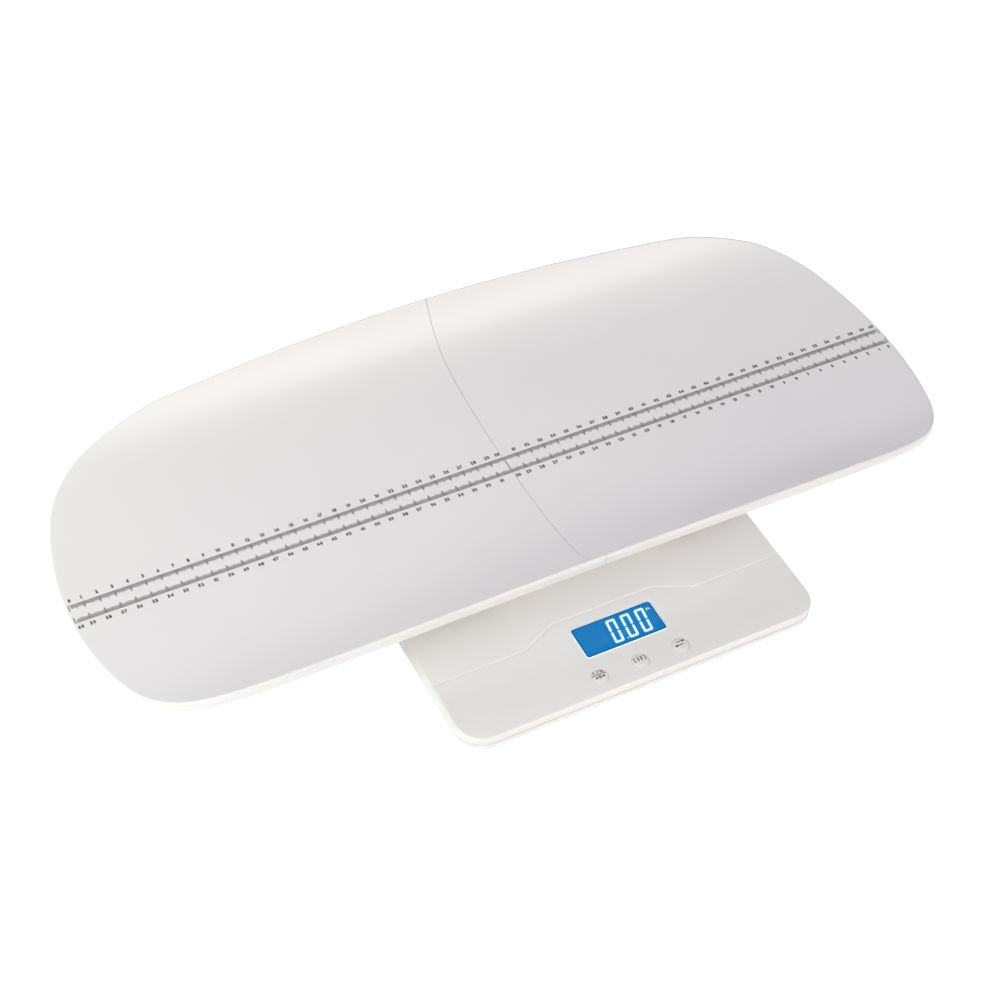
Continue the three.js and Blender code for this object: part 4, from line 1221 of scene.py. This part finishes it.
@dataclass
class Buttons:
    """The three caps with their printed marks.

    The dome falls away by a power of the distance from its middle. A mark is cut up by a
    grid so that it can follow the dome.
    """

    radius: float = 5.6
    sides: int = 64
    flange: float = 1.6
    flange_height: float = 0.7
    edge: float = 0.5
    dome: float = 0.6
    dome_steps: int = 8
    swell: int = 4
    back: float = 1.4
    lift: float = 0.02
    sink: float = 0.06
    grid: float = 0.5
    grid_reach: int = 10
    grid_shift: float = 0.13

    def ground(self, away: float) -> float:
        """How far a cap lies under its crown at a distance from its middle.

        Args:
            away: The distance.

        Returns:
            The drop of the dome and of the rounded edge past it.
        """
        reach = self.radius - self.edge
        past = min(max(away - reach, 0) / self.edge, 1)
        dome = self.dome * min(away / reach, 1) ** self.swell
        return dome + self.edge * (1 - math.sqrt(1 - past**2))

    def cap(self, box: Box) -> BMesh:
        """Turns one cap: a flange under the cover, a straight wall and a shallow dome.

        Args:
            box: The box of its CAD node.

        Returns:
            The closed mesh.
        """
        low, high = box.low.z, box.high.z
        wide, ledge = self.radius + self.flange, low + self.flange_height
        profile = [(0, low), (wide, low), (wide, ledge), (self.radius, ledge)]
        crown = high - self.dome
        profile += [(self.radius - inset, crown - drop) for inset, drop in rounding(self.edge)]
        for step in range(self.dome_steps - 1, -1, -1):
            away = (self.radius - self.edge) * step / self.dome_steps
            profile.append((away, high - self.ground(away)))
        return lathe(profile, self.sides, box.middle)

    def bar(self, at: Flat, size: Flat, turn: float = 0) -> BMesh:
        """Makes one printed bar.

        Args:
            at: Its middle.
            size: Its sizes along X and Y before it turns.
            turn: The turn in degrees.

        Returns:
            The closed mesh.
        """
        bm = bmesh.new()
        add_block(bm, (0, 0, 0), (*size, THIN))
        matrix = Matrix.Translation((*at, 0)) @ Matrix.Rotation(math.radians(turn), 4, "Z")
        bmesh.ops.transform(bm, matrix=matrix, verts=bm.verts[:])
        return bm

    def ring(self, at: Flat, radius: float) -> BMesh:
        """Makes one printed ring.

        Args:
            at: Its middle.
            radius: The radius of its line.

        Returns:
            The closed mesh.
        """
        near, far, top = radius - INK / 2, radius + INK / 2, THIN / 2
        return lathe([(near, -top), (far, -top), (far, top), (near, top)], 24, at, True)

    def arrow(self, at: Flat, length: float, way: int, size: float) -> BMesh:
        """Makes one printed arrow along X.

        Args:
            at: The middle of its shaft.
            length: The length of its shaft.
            way: 1 where it points along +X and -1 where it points along -X.
            size: The radius of its head.

        Returns:
            The closed meshes of the shaft and the head.
        """
        head = bmesh.new()
        tip = Matrix.Translation((at[0] + way * length / 2, at[1], 0))
        bmesh.ops.create_cone(
            head, cap_ends=True, segments=3, radius1=size, radius2=size, depth=THIN,
            matrix=tip @ Matrix.Rotation(-way * QUARTER, 4, "Z"),
        )
        return islands(self.bar(at, (length, INK)), head)

    def printed(self, mark: Mark, box: Box) -> BMesh:
        """Makes a mark and lays it on the back part of its cap's dome.

        Args:
            mark: The mark.
            box: The box of the cap's CAD node.

        Returns:
            The mesh.
        """
        bm = islands(
            *(self.bar(*row) for row in mark.value.bars),
            *(self.ring(*row) for row in mark.value.rings),
            *(self.arrow(*row) for row in mark.value.arrows),
        )
        for step in range(-self.grid_reach, self.grid_reach + 1):
            at = step * self.grid + self.grid_shift
            for way in ((1, 0, 0), (0, 1, 0)):
                sliced(bm, (at, at, 0), way)
        for vert in bm.verts:
            vert.co.y += self.back
            ground = box.high.z - self.ground(math.hypot(vert.co.x, vert.co.y))
            vert.co.z = ground + (self.lift if vert.co.z > 0 else -self.sink)
            vert.co.xy += box.middle.xy
        return bm

    def build(self) -> None:
        """Makes each cap with its mark."""
        for mark, body in zip(Mark, (Body.POWER, Body.HOLD, Body.UNIT)):
            word = mark.name.lower()
            box = Box.of(f"button_{word}")
            piece(f"cap_{word}", self.cap(box), [KEYCAP_ABS], body,
                  (f"button_{word}",))
            piece(f"mark_{word}", self.printed(mark, box), [PRINT_INK], body)


@dataclass
class Standing:
    """The feet and their rubber pads.

    A grip ring has half its width at its mouth and at its root, and its depth.
    """

    radius: float = 19.0
    height: float = 7.4
    dish: float = 1.6
    dish_gap: float = 0.3
    pad: float = 15.0
    boss: float = 5.0
    collar: float = 1.2
    collar_top: float = 1.8
    rings: Flat = (5.0, 10.0)
    grip: Point = (0.7, 0.3, 0.4)
    sides: int = 64

    def foot(self, box: Box) -> BMesh:
        """Turns one foot: a disc with a dish for its pad and a boss above.

        Args:
            box: The box of its CAD node.

        Returns:
            The closed mesh.
        """
        low, high = box.low.z, box.high.z
        dish, top = low + self.dish, low + self.height
        inner, neck = self.pad + self.dish_gap, self.boss + self.collar
        return lathe([
            (0, dish), (inner, dish), (inner, low), (self.radius, low), (self.radius, top),
            (neck, top), (neck, top + self.collar), (self.boss, top + self.collar_top),
            (self.boss, high), (0, high),
        ], self.sides, box.middle)

    def sole(self, box: Box) -> BMesh:
        """Turns one pad with grip rings pressed into its sole.

        Args:
            box: The box of its CAD node.

        Returns:
            The closed mesh.
        """
        mouth, root, deep = self.grip
        profile = [(0, 0)]
        for ring in self.rings:
            profile += [(ring - mouth, 0), (ring - root, deep), (ring + root, deep),
                        (ring + mouth, 0)]
        profile += [(self.pad, 0), (self.pad, box.high.z), (0, box.high.z)]
        return lathe(profile, self.sides, box.middle)

    def build(self) -> None:
        """Makes the four feet and pads."""
        for end, side in product(("front", "back"), ("left", "right")):
            foot, pad = f"foot_{end}_{side}", f"foot_pad_{end}_{side}"
            piece(f"foot_disc_{end}_{side}", self.foot(Box.of(foot)), [CASING_ABS],
                  Body.PLATFORM, (foot,), Edges(0.5, 3, 40))
            piece(f"foot_sole_{end}_{side}", self.sole(Box.of(pad)), [PAD_RUBBER],
                  Body.PLATFORM, (pad,), Edges(0.3, 2, 30))


@dataclass
class Screws:
    """The pan-head screws that hold the cover, with a cross recess in each head.

    The recess has half the length and half the width of its arms, and its depth.
    """

    head: float = 2.8
    head_height: float = 1.8
    head_round: float = 1.1
    shank: float = 1.3
    thread: float = 0.25
    thread_rise: float = 0.35
    thread_start: float = 0.5
    tip: float = 1.0
    tip_inset: float = 0.3
    recess: Point = (1.5, 0.33, 1.0)

    def screw(self, box: Box) -> BMesh:
        """Turns one screw, head down.

        Args:
            box: The box of its CAD node.

        Returns:
            The closed mesh.
        """
        low, high = box.low.z, box.high.z
        seat = low + self.head_height
        profile = [(0, low)]
        profile += [(self.head - inset, low + lift) for lift, inset in rounding(self.head_round)]
        profile += [(self.head, seat), (self.shank, seat)]
        for turn in range(int(high - seat - 2 * self.tip)):
            level, root = seat + self.thread_start + turn, self.shank - self.thread
            profile += [(root, level), (self.shank, level + self.thread_rise),
                        (root, level + 2 * self.thread_rise)]
        profile += [(self.shank - self.tip_inset, high - self.tip), (0, high)]
        long, short, deep = self.recess
        x, y, _ = box.middle
        arms = [
            block((x - a, y - b, low - deep), (x + a, y + b, low + deep))
            for a, b in ((long, short), (short, long))
        ]
        return cut(lathe(profile, 32, box.middle), islands(*arms))

    def build(self) -> None:
        """Makes every cover screw."""
        for place, side in product(("side", "rear", "front"), ("left", "right")):
            node = f"cover_screw_{place}_{side}"
            piece(f"pan_head_{place}_{side}", self.screw(Box.of(node)), [PLATED_STEEL],
                  Body.PLATFORM, (node,), Edges(0.08, 1, 50))


@dataclass
class Bay:
    """The battery bay's cells, springs and door.

    The base and the crown of a cell are insets from its side, or radii where they are
    negative, each with its level from that end.
    """

    radius: float = 5.25
    nub: float = 0.8
    film: float = 0.75
    band_share: float = 0.24
    base: tuple = ((-2.6, 0.25), (-3.0, 0), (0.7, 0), (0.25, 0.2), (0, 0.55))
    crown: tuple = ((0, -0.6), (0.25, -0.25), (0.7, -0.15), (0.9, -0.45), (-2.3, -0.45),
                    (-2.1, 0), (-1.9, 0.55), (-1.6, 0.8))

    def cell(self, box: Box, way: int) -> BMesh:
        """Turns one battery: a steel can in a film jacket with a band at its nub's end.

        Args:
            box: The box of its CAD node.
            way: 1 where the nub points along +X and -1 where it points along -X.

        Returns:
            The closed mesh.
        """
        length = box.high.x - box.low.x - self.nub
        band = length * (1 - self.band_share)
        profile = [(0, self.base[0][1])]
        for rows, start in ((self.base, 0), (((0, band - length), *self.crown), length)):
            for inset, level in rows:
                profile.append((self.radius - inset if inset >= 0 else -inset, start + level))
        bm = lathe([*profile, (0, length + self.nub)], 48)
        for face in bm.faces:
            middle = face.calc_center_median()
            if math.hypot(*middle.xy) > self.radius - self.film:
                face.material_index = 2 if middle.z > band else 1
        start = box.low.x if way > 0 else box.high.x
        place = Matrix.Translation((start, box.middle.y, box.middle.z))
        turn = Matrix.Rotation(way * QUARTER, 4, "Y")
        bmesh.ops.transform(bm, matrix=place @ turn, verts=bm.verts[:])
        return bm

    def build(self) -> None:
        """Makes the batteries, their springs and the door."""
        for word, way in (("front", 1), ("back", -1)):
            node, spring = f"battery_{word}", f"contact_spring_{word}"
            piece(f"cell_{word}", self.cell(Box.of(node), way),
                  [PLATED_STEEL, BATTERY_FILM, BATTERY_BAND], Body.PLATFORM, (node,))
            piece(f"spring_{word}", merged_copy(spring), [PLATED_WIRE], Body.PLATFORM,
                  (spring,))
        piece("door_plate", merged_copy("battery_door"), [CASING_ABS], Body.DOOR,
              ("battery_door",), Edges(0.2, 2, 40))


@dataclass
class Inside:
    """The pieces that keep their CAD shape, by how their names start."""

    finishes: tuple = (
        (("cell_wire", "battery_lead"), WIRE_PVC),
        (("load_cell", "board_screw", "contact_tab", "contact_bridge"), PLATED_STEEL),
        (("switch_body", "controller_chip"), BLACK_NYLON),
        (("cell_bracket", "wire_socket", "switch_plunger"), WHITE_NYLON),
        ("circuit_board", BOARD_MASK),
        ("display_backlight", GUIDE_ACRYLIC),
        ("display_panel", DISPLAY_GLASS),
    )

    def build(self) -> None:
        """Gives each of these pieces its finish."""
        for node, (starts, finish) in product(frame["nodes"], self.finishes):
            if node.startswith(starts):
                mesh = frame["nodes"][node].data
                mesh.materials.clear()
                mesh.materials.append(finish.material())
                log.info("%s: CAD node in %s", node, finish.name)


@dataclass(frozen=True)
class Lamp:
    """A soft square lamp: its place and size in metres, its watts and its colour."""

    name: str
    place: Point
    size: float
    power: float
    colour: str

    def build(self, target: Point) -> None:
        """Hangs the lamp so that it faces a place in metres.

        Args:
            target: The place.
        """
        data = bpy.data.lights.new(self.name, "AREA")
        data.shape = "SQUARE"
        data.size = self.size
        data.energy = self.power
        data.color = linear(self.colour)[:3]
        made = placed(self.name, data)
        made.location = self.place
        aim = Vector(target) - Vector(self.place)
        made.rotation_euler = aim.to_track_quat("-Z", "Y").to_euler()


@dataclass
class Studio:
    """The camera, the floor, the lamps and the surroundings.

    The camera looks at its target from its distance, at an azimuth from the front, an
    elevation and a roll in degrees.
    """

    lens: float = 73.095
    azimuth: float = 30.1128
    elevation: float = 47.8238
    roll: float = 3.9984
    target: Point = (-20.0023, 11.1838, 28.7)
    distance: float = 1306.8135
    floor_reach: float = 6.0
    floor_colours: tuple[str, str] = ("#F0F0F0", "#ECECEC")
    floor_grain: float = 4.0
    floor_glow: float = 0.76
    fill: tuple[str, float] = ("#EDF0FF", 0.279)
    lit_place: Point = (0, 0, 0.03)
    lamps: tuple[Lamp, ...] = (
        Lamp("front_lamp", (0.1, -2.1, 0.9), 1.4, 10, "#FFF3D1"),
        Lamp("right_front_lamp", (0.9, -1.6, 1.4), 1.4, 22, "#FFFAFF"),
        Lamp("left_lamp", (-1.65, -0.3, 1.0), 1.2, 22, "#FAFFF6"),
        Lamp("back_left_lamp", (-1.2, 1.5, 0.8), 1.2, 20, "#FFF6F5"),
    )

    def camera(self) -> None:
        """Sets the camera at the photograph's viewing angle."""
        az, el, roll = (math.radians(a) for a in (self.azimuth, self.elevation, self.roll))
        back = Vector((-math.sin(az) * math.cos(el), -math.cos(az) * math.cos(el), math.sin(el)))
        right = (-back).cross(Vector((0, 0, 1))).normalized()
        up = right.cross(-back)
        turned_right = right * math.cos(roll) + up * math.sin(roll)
        turned_up = up * math.cos(roll) - right * math.sin(roll)
        data = bpy.data.cameras.new("camera")
        data.lens = self.lens
        data.sensor_width = 36
        data.clip_end = 50
        made = placed("camera", data)
        place = (Vector(self.target) + back * self.distance) * MM
        turn = Matrix((turned_right, turned_up, back)).transposed().to_4x4()
        made.matrix_world = Matrix.Translation(place) @ turn
        bpy.context.scene.camera = made

    def floor(self) -> None:
        """Lays a white floor that keeps the scale's soft shadow and is clear from below."""
        bm = bmesh.new()
        bmesh.ops.create_grid(bm, x_segments=8, y_segments=8, size=self.floor_reach)
        # Matt white paper: an even pale sheet whose fibres just show
        material = bpy.data.materials.new("matt_white_studio_floor")
        material.use_nodes = True
        tree = material.node_tree
        tree.nodes.clear()
        path = add(tree, "ShaderNodeLightPath").outputs
        seen = add(tree, "ShaderNodeMath", {
            0: path["Is Camera Ray"], 1: path["Is Glossy Ray"],
        }, operation="MAXIMUM")
        white = add(tree, "ShaderNodeEmission", {
            "Color": (1, 1, 1, 1), "Strength": self.floor_glow,
        })
        place = add(tree, "ShaderNodeTexCoord").outputs["Object"]
        paper = add(tree, "ShaderNodeTexNoise", {
            "Vector": place, "Scale": per_mm(self.floor_grain), "Detail": 3.0,
        })
        pale, paler = (linear(colour) for colour in self.floor_colours)
        tone = add(tree, "ShaderNodeMix", {
            0: paper.outputs["Fac"], 6: pale, 7: paler,
        }, data_type="RGBA")
        matt = add(tree, "ShaderNodeBsdfDiffuse", {"Color": tone.outputs[2]}).outputs[0]
        both = add(tree, "ShaderNodeAddShader", {0: matt, 1: white.outputs[0]})
        upper = add(tree, "ShaderNodeMixShader", {
            0: seen.outputs[0], 1: matt, 2: both.outputs[0],
        })
        under = add(tree, "ShaderNodeNewGeometry").outputs["Backfacing"]
        clear = add(tree, "ShaderNodeBsdfTransparent")
        sheet = add(tree, "ShaderNodeMixShader", {
            0: under, 1: upper.outputs[0], 2: clear.outputs[0],
        })
        add(tree, "ShaderNodeOutputMaterial", {"Surface": sheet.outputs[0]})
        mesh = written("floor", bm)
        mesh.materials.append(material)
        placed("floor", mesh)

    def world(self) -> None:
        """Fills the surroundings with even light, white where the camera sees them."""
        world = bpy.data.worlds.new("surroundings")
        bpy.context.scene.world = world
        world.use_nodes = True
        tree = world.node_tree
        tree.nodes.clear()
        path = add(tree, "ShaderNodeLightPath").outputs
        colour, strength = self.fill
        fill = add(tree, "ShaderNodeBackground", {"Color": linear(colour), "Strength": strength})
        white = add(tree, "ShaderNodeBackground", {"Color": (1, 1, 1, 1), "Strength": 1.0})
        mix = add(tree, "ShaderNodeMixShader", {
            0: path["Is Camera Ray"], 1: fill.outputs[0], 2: white.outputs[0],
        })
        add(tree, "ShaderNodeOutputWorld", {"Surface": mix.outputs[0]})

    def build(self) -> None:
        """Sets up the whole studio."""
        self.camera()
        self.floor()
        self.world()
        for lamp in self.lamps:
            lamp.build(self.lit_place)
        bpy.context.scene.view_settings.view_transform = "Standard"


def main() -> None:
    """Builds the studio and the scale in order."""
    logging.basicConfig(level=logging.INFO, format="%(message)s")
    tray = Tray()
    for part in (Studio(), tray, Ruler(tray), Platform(), Display(), Buttons(), Standing(),
                 Screws(), Bay(), Inside()):
        part.build()


if __name__ == "__main__":
    main()
